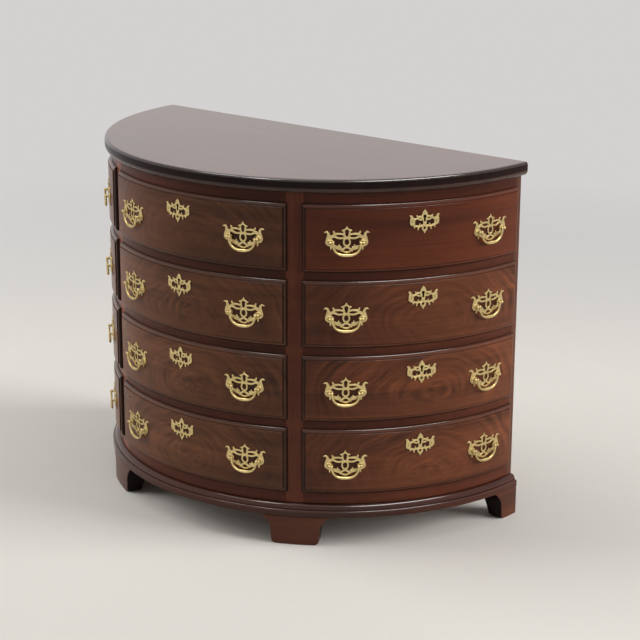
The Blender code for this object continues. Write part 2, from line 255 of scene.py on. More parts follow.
slices = {  # where in the log each board is cut, so that no two match: start, then steps
    "post": (3.1, 1.0), "frameRail": (8.3, 1.0, 4.0), "rail": (17.0, 1.0, 3.7), "panel": (30.0, 1.0),
    "runner": (0.5,),  # added to its panel's
    "bottomRim": (41.0,), "bottomPanel": (44.0,), "backBoard": (51.0, 1.7), "base": (61.0,),
    "baseRail": (64.0,), "foot": (71.0, 2.3), "front": (0.0, 5.3), "drawerSide": (90.0, 1.0),
    "drawerBack": (94.0,), "drawerBottom": (97.0,), "guide": (99.0,),
}


def logSlice(kind, *places):
    shift, *steps = slices[kind]
    for step, place in zip(steps, places):
        shift += step * place
    return shift


def setGrain(mesh, direction, shift=0.0):
    layer = mesh.attributes.get("grain") or mesh.attributes.new("grain", "FLOAT_VECTOR", "POINT")
    values = []
    for vertex in mesh.vertices:
        along, across, through = direction(vertex.co)
        values += [along, across, through + shift]
    layer.data.foreach_set("vector", values)
    return mesh


def setMask(mesh, name, rule):
    layer = mesh.attributes.get(name) or mesh.attributes.new(name, "FLOAT", "POINT")
    layer.data.foreach_set("value", [float(rule(vertex.co)) for vertex in mesh.vertices])
    return mesh


def setFinishes(mesh, names, pick):
    # Several finishes on one piece: pick gives each face the name of its finish
    for name in names:
        mesh.materials.append(finishes[name])
    for face in mesh.polygons:
        face.material_index = names.index(pick(face))
    return mesh


def addPiece(name, mesh, finish, body, place=axisPlace, stands=()):
    piece = linked(name, mesh)
    piece.matrix_world = place
    if not mesh.materials:
        mesh.materials.append(finishes[finish])
    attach(piece, body)
    if stands:
        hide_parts(*stands)


# Shader tools

def feed(tree, node, values):
    for key, value in values.items():
        if isinstance(value, bpy.types.NodeSocket):
            tree.links.new(value, node.inputs[key])
        else:
            node.inputs[key].default_value = value


def addNode(tree, kind, values=None, **settings):
    node = tree.nodes.new("ShaderNode" + kind)
    for key, value in settings.items():
        setattr(node, key, value)
    feed(tree, node, values or {})
    return node


def calc(tree, operation, first, second=0.0, third=0.0, clamp=False):
    values = {0: first, 1: second, 2: third}
    return addNode(tree, "Math", values, operation=operation, use_clamp=clamp).outputs[0]


def vectorCalc(tree, operation, first, second=(0, 0, 0), output="Vector"):
    return addNode(tree, "VectorMath", {0: first, 1: second}, operation=operation).outputs[output]


def noise(tree, vector, scale, detail=2.0, distortion=0.0):
    values = {"Vector": vector, "Scale": scale, "Detail": detail, "Distortion": distortion}
    return addNode(tree, "TexNoise", values).outputs[0]


def stretchedNoise(tree, vector, stretch, detail=2.0, distortion=0.0):
    return noise(tree, vectorCalc(tree, "MULTIPLY", vector, stretch), 1.0, detail, distortion)


def fit(tree, value, low, high, newLow=0.0, newHigh=1.0):
    values = {"Value": value, "From Min": low, "From Max": high, "To Min": newLow, "To Max": newHigh}
    return addNode(tree, "MapRange", values).outputs[0]


def mix(tree, factor, first, second, blend="MIX"):
    values = {0: factor, 6: first, 7: second}
    return addNode(tree, "Mix", values, data_type="RGBA", blend_type=blend).outputs[2]


def tinted(tree, colour, tint, mask):
    return mix(tree, mask, colour, mix(tree, 1.0, colour, (*tint, 1), "MULTIPLY"))


def attribute(tree, name, output="Fac"):
    return addNode(tree, "Attribute", attribute_name=name).outputs[output]


def newGroup(name, inputs, outputs):
    group = bpy.data.node_groups.new(name, "ShaderNodeTree")
    for socket, kind, value in inputs:
        added = group.interface.new_socket(socket, in_out="INPUT", socket_type="NodeSocket" + kind)
        added.default_value = value
    for socket, kind in outputs:
        group.interface.new_socket(socket, in_out="OUTPUT", socket_type="NodeSocket" + kind)
    return group, group.nodes.new("NodeGroupInput").outputs, group.nodes.new("NodeGroupOutput")


def placeGroup(tree, group, values):
    return addNode(tree, "Group", values, node_tree=group).outputs


def newMaterial(name):
    material = bpy.data.materials.new(name)
    material.use_nodes = True
    return material, material.node_tree, material.node_tree.nodes["Principled BSDF"]


# Effects that several finishes share

grainLook = {  # layers: how fast they change along, across and through the board, detail, distortion
    "drift": ((1.6, 5.0, 3.0), 3.0, 0.4), "stripe": ((1.3, 42.0, 20.0), 4.0, 0.5),
    "fibre": ((7.0, 520.0, 300.0), 3.0), "pore": ((20.0, 1300.0, 700.0), 1.0),
    "poreRange": (0.60, 0.72), "poreTint": (0.30, 0.26, 0.24), "poreGloss": 0.5, "driftGloss": 0.5,
    "fibreHeight": 0.35,
}


def woodGroup():
    # Colour, polish and pores of a straight-grained board
    group, given, out = newGroup(
        "woodGrain",
        [("Grain", "Vector", (0, 0, 0)), ("Figure", "Float", 0.0), ("Dark", "Color", (0.03, 0.01, 0.006, 1)),
         ("Light", "Color", (0.14, 0.04, 0.02, 1)), ("Stripe", "Float", 0.8), ("Pores", "Float", 0.6),
         ("Drift", "Float", 1.0), ("Fibre", "Float", 0.35)],
        [("Color", "Color"), ("Gloss", "Float"), ("Height", "Float")])
    layers = {name: stretchedNoise(group, given["Grain"], *grainLook[name])
              for name in ("drift", "stripe", "fibre", "pore")}
    poreMask = calc(group, "MULTIPLY", fit(group, layers["pore"], *grainLook["poreRange"]), given["Pores"])
    tone = 0.5
    for name in ("drift", "stripe", "fibre"):
        swing = calc(group, "SUBTRACT", layers[name], 0.5)
        tone = calc(group, "MULTIPLY_ADD", swing, given[name.capitalize()], tone)
    tone = calc(group, "ADD", tone, given["Figure"], clamp=True)
    board = mix(group, tone, given["Dark"], given["Light"])
    softer = calc(group, "MULTIPLY", layers["drift"], grainLook["driftGloss"])
    ridges = calc(group, "MULTIPLY", layers["fibre"], grainLook["fibreHeight"])
    feed(group, out, {
        "Color": tinted(group, board, grainLook["poreTint"], poreMask),
        "Gloss": calc(group, "MULTIPLY_ADD", poreMask, grainLook["poreGloss"], softer),
        "Height": calc(group, "SUBTRACT", ridges, poreMask)})
    return group


flame = {  # crotch figure: arcs round a point low on the drawer, broken up by noise
    "centre": (0.033, 0.050, 0.0), "flatten": (0.62, 1.0, 0.0), "sway": (6.0, 8.0, 1.0),
    "swayReach": 0.06, "rings": 110.0, "ringDetail": 3.0, "ringRange": (0.28, 0.72, -1.0, 1.0),
    "patch": (5.0, 8.0, 1.3), "patchRange": (0.32, 0.66, 0.2, 1.0),
    "plumeRange": (-0.035, 0.015, 0.35, 1.0),
}


def flameGroup():
    group, given, out = newGroup(
        "flameFigure", [("Grain", "Vector", (0, 0, 0)), ("Amount", "Float", 0.5)], [("Figure", "Float")])
    grain = given["Grain"]
    sway = stretchedNoise(group, grain, flame["sway"])
    centred = vectorCalc(group, "SUBTRACT", grain, flame["centre"])
    flat = vectorCalc(group, "MULTIPLY", centred, flame["flatten"])
    reach = vectorCalc(group, "LENGTH", flat, output="Value")
    parts = addNode(group, "SeparateXYZ", {0: flat}).outputs
    bent = calc(group, "MULTIPLY_ADD", sway, flame["swayReach"], reach)
    place = addNode(group, "CombineXYZ", {
        0: calc(group, "MULTIPLY", bent, flame["rings"]),
        1: calc(group, "ARCTAN2", parts["X"], parts["Y"]),
        2: addNode(group, "SeparateXYZ", {0: grain}).outputs["Z"]}).outputs[0]
    rings = fit(group, noise(group, place, 1.0, flame["ringDetail"]), *flame["ringRange"])
    patch = fit(group, stretchedNoise(group, grain, flame["patch"]), *flame["patchRange"])
    plume = calc(group, "MULTIPLY", patch, fit(group, parts["Y"], *flame["plumeRange"]))
    figure = calc(group, "MULTIPLY", rings, plume)
    feed(group, out, {"Figure": calc(group, "MULTIPLY", figure, given["Amount"])})
    return group


wearLook = {
    "scale": 60.0, "detail": 4.0, "edge": (0.515, 0.60), "breakUp": (0.42, 0.62),
    "corner": (0.49, 0.42), "smudge": (7.0, 3.0, 0.8),
}


def wearGroup():
    # Where arrises have been rubbed, and where the surface is concave
    group, given, out = newGroup(
        "edgeWear", [("Grain", "Vector", (0, 0, 0)), ("Scale", "Float", wearLook["scale"])],
        [("Rubbed", "Float"), ("Corner", "Float"), ("Smudge", "Float")])
    point = addNode(group, "NewGeometry").outputs["Pointiness"]
    spots = noise(group, given["Grain"], given["Scale"], wearLook["detail"])
    patches = fit(group, spots, *wearLook["breakUp"])
    feed(group, out, {
        "Rubbed": calc(group, "MULTIPLY", fit(group, point, *wearLook["edge"]), patches),
        "Corner": fit(group, point, *wearLook["corner"]),
        "Smudge": noise(group, given["Grain"], *wearLook["smudge"])})
    return group


woodGrain = woodGroup()
flameFigure = flameGroup()
edgeWear = wearGroup()
print("shared effects ready")


# Finishes

woodDefaults = {
    "stripe": 1.1, "pores": 0.5, "drift": 1.0, "fibre": 0.35, "flame": 0.0,
    "rubbed": 0.45, "concaveDarkening": 0.6, "smudge": 0.35, "polish": (0.15, 0.85), "rough": (0.26, 0.40),
    "specular": 0.16, "coat": 0.03, "coatRough": 0.12, "bump": 0.08, "bumpDepth": 0.0004,
}
woods = {
    "polishedTop": {
        "dark": (0.050, 0.013, 0.007), "light": (0.150, 0.044, 0.022), "stripe": 1.3, "pores": 0.45,
        "rough": (0.16, 0.28), "specular": 0.5, "coat": 0.72, "coatRough": 0.08, "bump": 0.05},
    # Painted light on the top's edge: the arris and upright edge are painted dark for the dark reflection
    # they show, the ovolo below painted lighter for the floor it reflects; the feet's inner faces use the
    # dark edge finish as painted shade
    "arrisPaintedShade": {
        "dark": (0.010, 0.004, 0.003), "light": (0.030, 0.011, 0.008), "pores": 0.3,
        "rough": (0.18, 0.30), "specular": 0.2, "coat": 0.9, "coatRough": 0.06, "bump": 0.05},
    "paintedShadeEdge": {
        "dark": (0.006, 0.0025, 0.002), "light": (0.016, 0.006, 0.0045),
        "rough": (0.20, 0.34), "specular": 0.10, "coat": 0.04, "coatRough": 0.06, "bump": 0.06},
    "ovoloPaintedReflection": {
        "dark": (0.020, 0.009, 0.0064), "light": (0.064, 0.026, 0.017),
        "rough": (0.20, 0.34), "specular": 0.28, "coat": 0.1, "coatRough": 0.10, "bump": 0.06},
    "polishedFrame": {"dark": (0.058, 0.0153, 0.0072), "light": (0.244, 0.0626, 0.0261)},
    "polishedRearPost": {"dark": (0.038, 0.0142, 0.0084), "light": (0.160, 0.058, 0.0305)},
    # Painted shade: the rails are darker than the stiles for the shade under the drawers' lips, the top rail
    # darker still for the shade under the top board
    "railPaintedShade": {
        "dark": (0.028, 0.0075, 0.0036), "light": (0.115, 0.030, 0.0138),
        "rough": (0.24, 0.38), "specular": 0.12},
    "topRailPaintedShade": {
        "dark": (0.0210, 0.0058, 0.0031), "light": (0.094, 0.0240, 0.0116),
        "rough": (0.24, 0.38), "specular": 0.12},
    "polishedBase": {
        "dark": (0.020, 0.0058, 0.0034), "light": (0.086, 0.022, 0.0105), "pores": 0.4,
        "rough": (0.20, 0.32), "specular": 0.15, "coat": 0.52, "coatRough": 0.06, "bump": 0.06},
    "polishedFascia": {
        "dark": (0.018, 0.0055, 0.0035), "light": (0.074, 0.021, 0.0105), "pores": 0.4,
        "rough": (0.24, 0.36), "specular": 0.20, "coat": 0.12, "coatRough": 0.08, "bump": 0.06},
    "polishedFoot": {
        "dark": (0.0305, 0.0085, 0.0047), "light": (0.126, 0.0348, 0.0146), "specular": 0.20, "coat": 0.05},
    "polishedFront": {
        "dark": (0.024, 0.0056, 0.0024), "light": (0.184, 0.0418, 0.0142), "stripe": 0.7, "pores": 0.45,
        "flame": 0.42, "rough": (0.24, 0.36), "coat": 0.04, "coatRough": 0.10, "bump": 0.06},
    "polishedLip": {
        "dark": (0.036, 0.0083, 0.0034), "light": (0.180, 0.040, 0.0142), "stripe": 0.5, "pores": 0.3,
        "flame": 0.10, "rough": (0.20, 0.30), "coat": 0.5, "coatRough": 0.06, "bump": 0.04},
    "drawerLining": {
        "dark": (0.34, 0.225, 0.118), "light": (0.55, 0.395, 0.235), "stripe": 1.2, "pores": 0.15,
        "drift": 0.6, "fibre": 0.12, "rubbed": 0.0, "rough": (0.50, 0.70), "specular": 0.4, "coat": 0.0,
        "coatRough": 0.3, "bump": 0.25},
    "innerWood": {
        "dark": (0.15, 0.082, 0.042), "light": (0.29, 0.170, 0.092), "stripe": 1.4, "pores": 0.12,
        "drift": 0.8, "fibre": 0.12, "rubbed": 0.0, "rough": (0.55, 0.80), "specular": 0.4, "coat": 0.0,
        "coatRough": 0.3, "bump": 0.35},
}
tints = {
    "worn": (1.9, 1.75, 1.6),  # rubbed arrises
    "concaveDark": (0.45, 0.42, 0.40),  # darker in concave corners
    "toneAndSheen": (1.02, 1.66, 2.06),  # browner, greyer veneers: partly veneer tone, partly a painted sheen of reflected light
    "plateShade": (0.60, 0.54, 0.48),  # painted shade under and round the brass plates
    "lipShadeTint": (0.10, 0.09, 0.09),  # painted shade lines round a lip
}
plateShadeOvals = {  # painted shade: dark ovals under the plates: across, below the lip's top, half width, half height
    "pull": (0.1753, 0.081, 0.030, 0.021),
    "escutcheon": (0.0, 0.045, 0.024, 0.019),
}
plateShadeFade = (1.3, 0.7)


# Painted shade: soft dark ovals on the drawer fronts where the brass plates stand
def plateShadeMask(tree, grain):
    parts = addNode(tree, "SeparateXYZ", {0: grain}).outputs
    aside = calc(tree, "ABSOLUTE", parts["X"])
    mask = 0.0
    for across, below, halfWide, halfTall in plateShadeOvals.values():
        x = calc(tree, "DIVIDE", calc(tree, "SUBTRACT", aside, across), halfWide)
        z = calc(tree, "DIVIDE", calc(tree, "SUBTRACT", parts["Y"], lipTop - below), halfTall)
        reach = calc(tree, "ADD", calc(tree, "POWER", x, 2.0), calc(tree, "POWER", z, 2.0))
        mask = calc(tree, "MAXIMUM", mask, fit(tree, reach, *plateShadeFade))
    return mask


def woodMaterial(name):
    look = {**woodDefaults, **woods[name]}
    material, tree, shader = newMaterial(name)
    grain = attribute(tree, "grain", "Vector")
    values = {"Grain": grain, "Dark": (*look["dark"], 1), "Light": (*look["light"], 1)}
    for key in ("stripe", "pores", "drift", "fibre"):
        values[key.capitalize()] = look[key]
    if look["flame"]:
        amount = calc(tree, "MULTIPLY", attribute(tree, "figured"), look["flame"])
        values["Figure"] = placeGroup(tree, flameFigure, {"Grain": grain, "Amount": amount})["Figure"]
    wood = placeGroup(tree, woodGrain, values)
    wear = placeGroup(tree, edgeWear, {"Grain": grain})
    rubbed = calc(tree, "MULTIPLY", wear["Rubbed"], look["rubbed"])
    colour = tinted(tree, wood["Color"], tints["worn"], rubbed)
    colour = tinted(tree, colour, tints["concaveDark"], calc(tree, "MULTIPLY", wear["Corner"], look["concaveDarkening"]))
    if look["flame"]:
        # browner veneers, partly a painted sheen
        colour = tinted(tree, colour, tints["toneAndSheen"], attribute(tree, "toneAndSheen"))
        # painted shade under the plates
        colour = tinted(tree, colour, tints["plateShade"], plateShadeMask(tree, grain))
        # painted shade along the lips' edges and quirks
        colour = tinted(tree, colour, tints["lipShadeTint"], attribute(tree, "lipShade"))
    polish = calc(tree, "MULTIPLY_ADD", wear["Smudge"], look["smudge"], wood["Gloss"])
    values = {"Height": wood["Height"], "Strength": look["bump"], "Distance": look["bumpDepth"]}
    feed(tree, shader, {
        "Base Color": colour,
        "Roughness": fit(tree, polish, *look["polish"], *look["rough"]),
        "Normal": addNode(tree, "Bump", values).outputs[0],
        "Coat Weight": look["coat"],
        "Coat Roughness": look["coatRough"],
        "Specular IOR Level": look["specular"]})
    return material


metalDefaults = {
    "wearScale": 240.0, "tarnish": (130.0, 4.0, 0.6), "tarnishRange": (0.42, 0.70), "tarnishShare": 0.55,
    "cornerShare": 0.8, "rubbedShare": 0.5, "pits": (900.0, 3.0), "pitDepth": 0.0003,
}
metals = {
    "castBrass": {
        "bright": (0.71, 0.56, 0.265), "dull": (0.50, 0.375, 0.155), "corner": (0.16, 0.11, 0.042),
        "rough": (0.34, 0.52), "hammer": 0.10},
    "turnedBrass": {
        "bright": (0.60, 0.47, 0.215), "dull": (0.42, 0.31, 0.13), "corner": (0.13, 0.09, 0.034),
        "rough": (0.46, 0.62), "hammer": 0.08},
    "lockIron": {
        "bright": (0.34, 0.33, 0.32), "dull": (0.16, 0.14, 0.13), "corner": (0.06, 0.05, 0.045),
        "rough": (0.34, 0.58), "hammer": 0.25},
}


def metalMaterial(name):
    look = {**metalDefaults, **metals[name]}
    bright, dull, corner = ((*look[key], 1) for key in ("bright", "dull", "corner"))
    material, tree, shader = newMaterial(name)
    place = addNode(tree, "TexCoord").outputs["Object"]
    wear = placeGroup(tree, edgeWear, {"Grain": place, "Scale": look["wearScale"]})
    tarnish = fit(tree, noise(tree, place, *look["tarnish"]), *look["tarnishRange"])
    colour = mix(tree, calc(tree, "MULTIPLY", tarnish, look["tarnishShare"]), bright, dull)
    colour = mix(tree, calc(tree, "MULTIPLY", wear["Corner"], look["cornerShare"]), colour, corner)
    colour = mix(tree, calc(tree, "MULTIPLY", wear["Rubbed"], look["rubbedShare"]), colour, bright)
    pits = noise(tree, place, *look["pits"])
    values = {"Height": pits, "Strength": look["hammer"], "Distance": look["pitDepth"]}
    feed(tree, shader, {
        "Base Color": colour,
        "Roughness": fit(tree, tarnish, 0.0, 1.0, *look["rough"]),
        "Normal": addNode(tree, "Bump", values).outputs[0],
        "Metallic": 1.0})
    return material


finishes = {name: woodMaterial(name) for name in woods}
finishes.update({name: metalMaterial(name) for name in metals})
print("finishes ready:", ", ".join(finishes))


# Top board: half round, with a small upper round and an ovolo below

top = {
    "arris": 0.0055, "upperRound": 0.007, "lowerRound": 0.013, "lowerWidth": 0.014, "support": 0.010,
    "arcSteps": 128, "roundSteps": 8,
}


def buildTop():
    low, high = topLow.z, topHigh.z
    levels = [(topRadius - top["lowerWidth"] - top["support"], low)]
    for angle in spread(quarterTurn, 0.0, top["roundSteps"]):
        inset = top["lowerWidth"] * (1 - cos(angle))
        levels.append((topRadius - inset, low + top["lowerRound"] * (1 - sin(angle))))
    for angle in spread(0.0, quarterTurn, top["roundSteps"]):
        centre = topRadius - top["upperRound"]
        levels.append((centre + top["upperRound"] * cos(angle), high - top["upperRound"] * (1 - sin(angle))))
    levels.append((topRadius - top["upperRound"] - top["support"], high))
    angles = spread(-quarterTurn, quarterTurn, top["arcSteps"])
    rings = [[polar(radius, angle, height) for angle in angles] for radius, height in levels]
    mesh = setGrain(smoothed(made("topBoard", skin, rings)), grainAcross)

    # The edge's colours are painted: dark for the edge's dark reflection, lighter on the ovolo for the floor
    # it reflects
    def finishAt(face):
        if face.center.z > high - gap / 3:
            return "polishedTop"
        if face.center.z > high - top["arris"]:
            return "arrisPaintedShade"
        return "paintedShadeEdge" if face.center.z > low + top["lowerRound"] else "ovoloPaintedReflection"

    setFinishes(mesh, ["polishedTop", "paintedShadeEdge", "ovoloPaintedReflection", "arrisPaintedShade"], finishAt)
    addPiece("topBoard", mesh, "polishedTop", "case", stands=["top_board"])


buildTop()
print("top board made")


# Case: posts, rails, dust boards, bottom and back

def rectangle(inner, outer, below, above):
    return [(inner, below), (outer, below), (outer, above), (inner, above)]


def arcBar(name, radii, levels, angles, direction, shift, steps=case["railSteps"]):
    mesh = made(name, sweepArc, rectangle(*radii, *levels), spread(*angles, steps))
    return setGrain(eased(mesh, case["edgeRound"]), direction, shift)


def buildFrame():
    low, high = caseLow.z, caseHigh.z
    radii = (frameInner, caseRadius)
    posts = {
        "rearPostLeft": (-quarterTurn, stileHalf - quarterTurn, "polishedRearPost"),
        "stileLeft": (-stileTurn - stileHalf, stileHalf - stileTurn, "polishedFrame"),
        "stileRight": (stileTurn - stileHalf, stileTurn + stileHalf, "polishedFrame"),
        "rearPostRight": (quarterTurn - stileHalf, quarterTurn, "polishedRearPost"),
    }
    # the rails' finishes are painted darker as shade
    bars = {
        "topRail": (high - case["topRail"], high, "topRailPaintedShade"),
        "bottomRail": (low, low + case["bottomRail"], "railPaintedShade"),
    }
    stands = ["face_frame"]
    for i, (name, (start, end, finish)) in enumerate(posts.items()):
        shift = logSlice("post", i)
        mesh = arcBar(name, radii, (low, high), (start, end), grainUpright, shift, case["postSteps"])
        addPiece(name, mesh, finish, "case", stands=stands)
        stands = ()
    for i, (column, turn) in enumerate(columnTurns.items()):
        window = (turn - windowHalf, turn + windowHalf)
        for j, (name, (below, above, finish)) in enumerate(bars.items()):
            mesh = arcBar(name, radii, (below, above), window, grainRound, logSlice("frameRail", i, j))
            addPiece(f"{name}_{column}", mesh, finish, "case")


def runnerOutline(turn):
    along = polar(1.0, turn).to_2d()
    across = Vector((-along.y, along.x)) * (case["runnerWidth"] / 2)
    start, end = along * case["runnerStart"], along * case["runnerEnd"]
    return [start - across, end - across, end + across, start + across]


def panelOutline():
    # The board inside the rails, stopped at the back panel
    inner = shelfInner - gap
    reach = quarterTurn - asin((panelHigh.y - panelLow.y + gap) / inner)
    return [polar(inner, angle).to_2d() for angle in spread(-reach, reach, case["panelSteps"])]


def buildPanel(name, above, shift):
    mesh = made(name, prism, panelOutline(), above - case["shelfPanel"], above)
    panel = setGrain(eased(mesh, case["edgeRound"]), grainAcross, shift)
    shape = bmesh.new()
    for turn in columnTurns.values():
        prism(shape, runnerOutline(turn), above + gap / 3, above + case["runnerHeight"])
    runners = eased(toMesh(shape, name), case["runnerRound"])
    setGrain(runners, grainDeep, shift + logSlice("runner"))
    addPiece(name, joinMeshes(name, [panel, runners]), "innerWood", "case")


def buildDustBoards():
    slack = gap / caseRadius
    for row in range(rowCount - 1):
        name = f"dust_board_{row + 1}"
        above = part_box(name)[1].z - case["runnerHeight"]
        levels = (above - case["middleRail"], above)
        stands = [name]
        for i, (column, turn) in enumerate(columnTurns.items()):
            angles = (turn - windowHalf + slack, turn + windowHalf - slack)
            shift = logSlice("rail", i, row)
            mesh = arcBar("rail", (shelfInner, caseRadius), levels, angles, grainRound, shift)
            addPiece(f"rail_{column}_{row + 1}", mesh, "railPaintedShade", "case", stands=stands)
            stands = ()
        buildPanel(f"dustPanel_{row + 1}", above, logSlice("panel", row))


def buildBottom():
    low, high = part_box("bottom_board")
    above = high.z - case["runnerHeight"]
    reach = quarterTurn - case["rimEnd"]
    mesh = arcBar("bottomRim", (shelfInner, frameInner - gap), (low.z, above), (-reach, reach), grainRound,
                  logSlice("bottomRim"), case["panelSteps"])
    addPiece("bottomRim", mesh, "innerWood", "case", stands=["bottom_board"])
    buildPanel("bottomPanel", above, logSlice("bottomPanel"))


screw = {  # slot, dome and bed are shares of the head's radius
    "slot": 0.16, "dome": ((1.0, -0.10), (1.0, 0.05), (0.85, 0.14), (0.55, 0.19)),
    "bed": ((0.98, -0.10), (0.98, -0.02)), "arcSteps": 8, "bedSides": 16, "smooth": 30.0,
}


def screwHead(shape, spot, radius, turn=0.0):
    # Two halves of a low dome with the driver slot between them; local Z points out
    place = Matrix.Translation(spot) @ Matrix.Rotation(-quarterTurn, 4, "X") @ Matrix.Rotation(turn, 4, "Z")
    for side in (-1, 1):
        rings = []
        for share, rise in screw["dome"]:
            reach = radius * share
            start = asin(screw["slot"] / share)
            arc = spread(pi - start, start, screw["arcSteps"])
            ring = [Vector((reach * cos(a), side * reach * sin(a), rise * radius)) for a in arc]
            rings.append([place @ point for point in ring])
        skin(shape, rings)
    bed = [(radius * share, radius * rise) for share, rise in screw["bed"]]
    turned(shape, bed, place, screw["bedSides"])


back = {
    "boards": 7, "joint": 0.0006, "vee": 0.0022, "recess": 0.0008, "screwInset": 0.016,
    "screwRadius": 0.0042, "screwShares": (0.2, 0.8), "screwTurn": 0.7,
}


def buildBack():
    low, high = panelLow, panelHigh
    width = (high.x - low.x) / back["boards"]
    heights = (low.z + back["screwInset"], (low.z + high.z) / 2, high.z - back["screwInset"])
    boards = []
    spots = []
    for i in range(back["boards"]):
        left = low.x + width * i + back["joint"] / 2
        right = low.x + width * (i + 1) - back["joint"] / 2
        mesh = made("board", block, (left, low.y - high.y, low.z), (right, -back["recess"], high.z))
        boards.append(setGrain(eased(mesh, back["vee"], 1), grainTall, logSlice("backBoard", i)))
        for share in back["screwShares"]:
            spots += [(left + (right - left) * share, -back["recess"], height) for height in heights]
    mesh = joinMeshes("backBoards", boards)
    addPiece("backBoards", mesh, "innerWood", "case", stands=["back_panel"])
    shape = bmesh.new()
    for i, spot in enumerate(spots):
        screwHead(shape, spot, back["screwRadius"], back["screwTurn"] * i)
    screws = smoothed(toMesh(shape, "backScrews"), screw["smooth"])
    addPiece("backScrews", screws, "castBrass", "case")


buildFrame()
buildDustBoards()
buildBottom()
buildBack()
print("case made")


# Base: two stacked beads over a fascia, a back rail and four bracket feet

base = {
    "upperRound": 0.012, "lowerRound": 0.005, "ledge": 0.0010, "quirk": 0.0006, "depth": 0.080,
    "support": 0.004, "arris": 0.0006, "railDepth": 0.058, "railEnd": 0.001, "railBack": 0.0005,
    "railRound": 0.0015, "steps": 8, "arcSteps": 96,
}


def bead(centre, height, radius):
    arc = spread(quarterTurn, 0.0, base["steps"])
    return [(centre + radius * cos(angle), height + radius * sin(angle)) for angle in arc]


def buildBase():
    low, high = baseLow.z, baseHigh.z
    inner = baseRadius - base["depth"]
    lowerStart = baseRadius - base["lowerRound"]
    upperStart = lowerStart - base["ledge"] - base["upperRound"]
    ledge = high - base["upperRound"] - base["ledge"]
    fascia = ledge - base["lowerRound"]
    quirk = lowerStart - base["ledge"] - base["quirk"]
    profile = [(inner, high), (upperStart - base["support"], high)]
    profile += bead(upperStart, high - base["upperRound"], base["upperRound"])
    profile += [(quirk, ledge + base["quirk"]), (quirk, ledge)]
    profile += bead(lowerStart, fascia, base["lowerRound"])
    profile += [(baseRadius, low + base["arris"]), (baseRadius - base["arris"], low), (inner, low)]
    ring = made("baseMoulding", sweepArc, profile, spread(-quarterTurn, quarterTurn, base["arcSteps"]))
    setGrain(smoothed(ring), grainRound, logSlice("base"))
    setFinishes(ring, ["polishedBase", "polishedFascia"],
                lambda face: "polishedFascia" if face.center.z < fascia else "polishedBase")
    addPiece("baseMoulding", ring, "polishedBase", "case", stands=["base_frame"])
    reach = sqrt(inner * inner - base["railDepth"] ** 2) - base["railEnd"]
    mesh = made("baseBackRail", block, (-reach, -base["railDepth"], low), (reach, -base["railBack"], high))
    rail = setGrain(eased(mesh, base["railRound"]), grainAcross, logSlice("baseRail"))
    addPiece("baseBackRail", rail, "innerWood", "case")


foot = {
    "depth": 0.058, "floorDepth": 0.037, "inset": 0.0003, "topHalf": 0.0815, "middleHalf": 0.0585,
    "floorHalf": 0.0555, "wornWidth": 0.0075, "wornHeight": 0.0045, "splay": 0.008,
    "ankle": 0.25,  # share of the height where the sides get a ring of points
    "edgeRound": 0.0020, "edgeSteps": 3, "edgeAngle": 40.0,
    "faceTurn": 0.5, "rearTurn": 0.9,  # how far a lighter face looks outwards, or to the back
    "acrossSteps": 16, "shoulderSteps": 12,
}


def footSize(height, total):
    # Half width and depth: worn at the floor, straight and slightly spread below, a hollow curve above
    share = height / total
    hollow = max(0.0, share * 2 - 1) ** 2
    half = foot["floorHalf"] + (foot["middleHalf"] - foot["floorHalf"]) * min(1.0, share * 2)
    half += (foot["topHalf"] - foot["middleHalf"]) * hollow
    if height == 0.0:
        half -= foot["wornWidth"]
    return half, foot["floorDepth"] + (foot["depth"] - foot["floorDepth"]) * share


def footFinish(face):
    # The curved face and the rear ends have the foot's own finish; the other faces are painted dark as shade
    outward = Vector((face.center.x, face.center.y, 0)).normalized()
    inside = face.normal.dot(outward) < foot["faceTurn"] and face.normal.y < foot["rearTurn"]
    return "paintedShadeEdge" if inside else "polishedFoot"


def buildFeet():
    outer = baseRadius - foot["inset"]
    total = baseLow.z - gap
    heights = [0.0, foot["wornHeight"], total * foot["ankle"]]
    heights += spread(total / 2, total, foot["shoulderSteps"])
    names = ["rear_left", "front_left", "front_right", "rear_right"]
    for i, (name, middle) in enumerate(zip(names, spread(-quarterTurn, quarterTurn, len(names) - 1))):
        low = 0.0 if name == "rear_left" else -1.0
        high = 0.0 if name == "rear_right" else 1.0
        if name.startswith("front"):
            middle *= 1 + foot["splay"]
        rings = []
        for height in heights:
            half, depth = footSize(height, total)
            inner = baseRadius - depth
            across = [half * share for share in spread(low, high, foot["acrossSteps"])]
            face = [polar(outer, middle + asin(x / outer), height) for x in across]
            behind = [polar(inner, middle + asin(x / inner), height) for x in reversed(across)]
            rings.append(face + behind)
        mesh = eased(made("foot", skin, rings), foot["edgeRound"], foot["edgeSteps"], foot["edgeAngle"])
        setGrain(mesh, grainRound, logSlice("foot", i))
        setFinishes(mesh, ["polishedFoot", "paintedShadeEdge"], footFinish)
        addPiece(f"bracketFoot_{name}", mesh, "polishedFoot", "case", stands=["foot_" + name])


buildBase()
buildFeet()
print("base and feet made")


# Drawers. Drawer meshes are made for a column facing -Y, with the opening's lower edge at height 0.

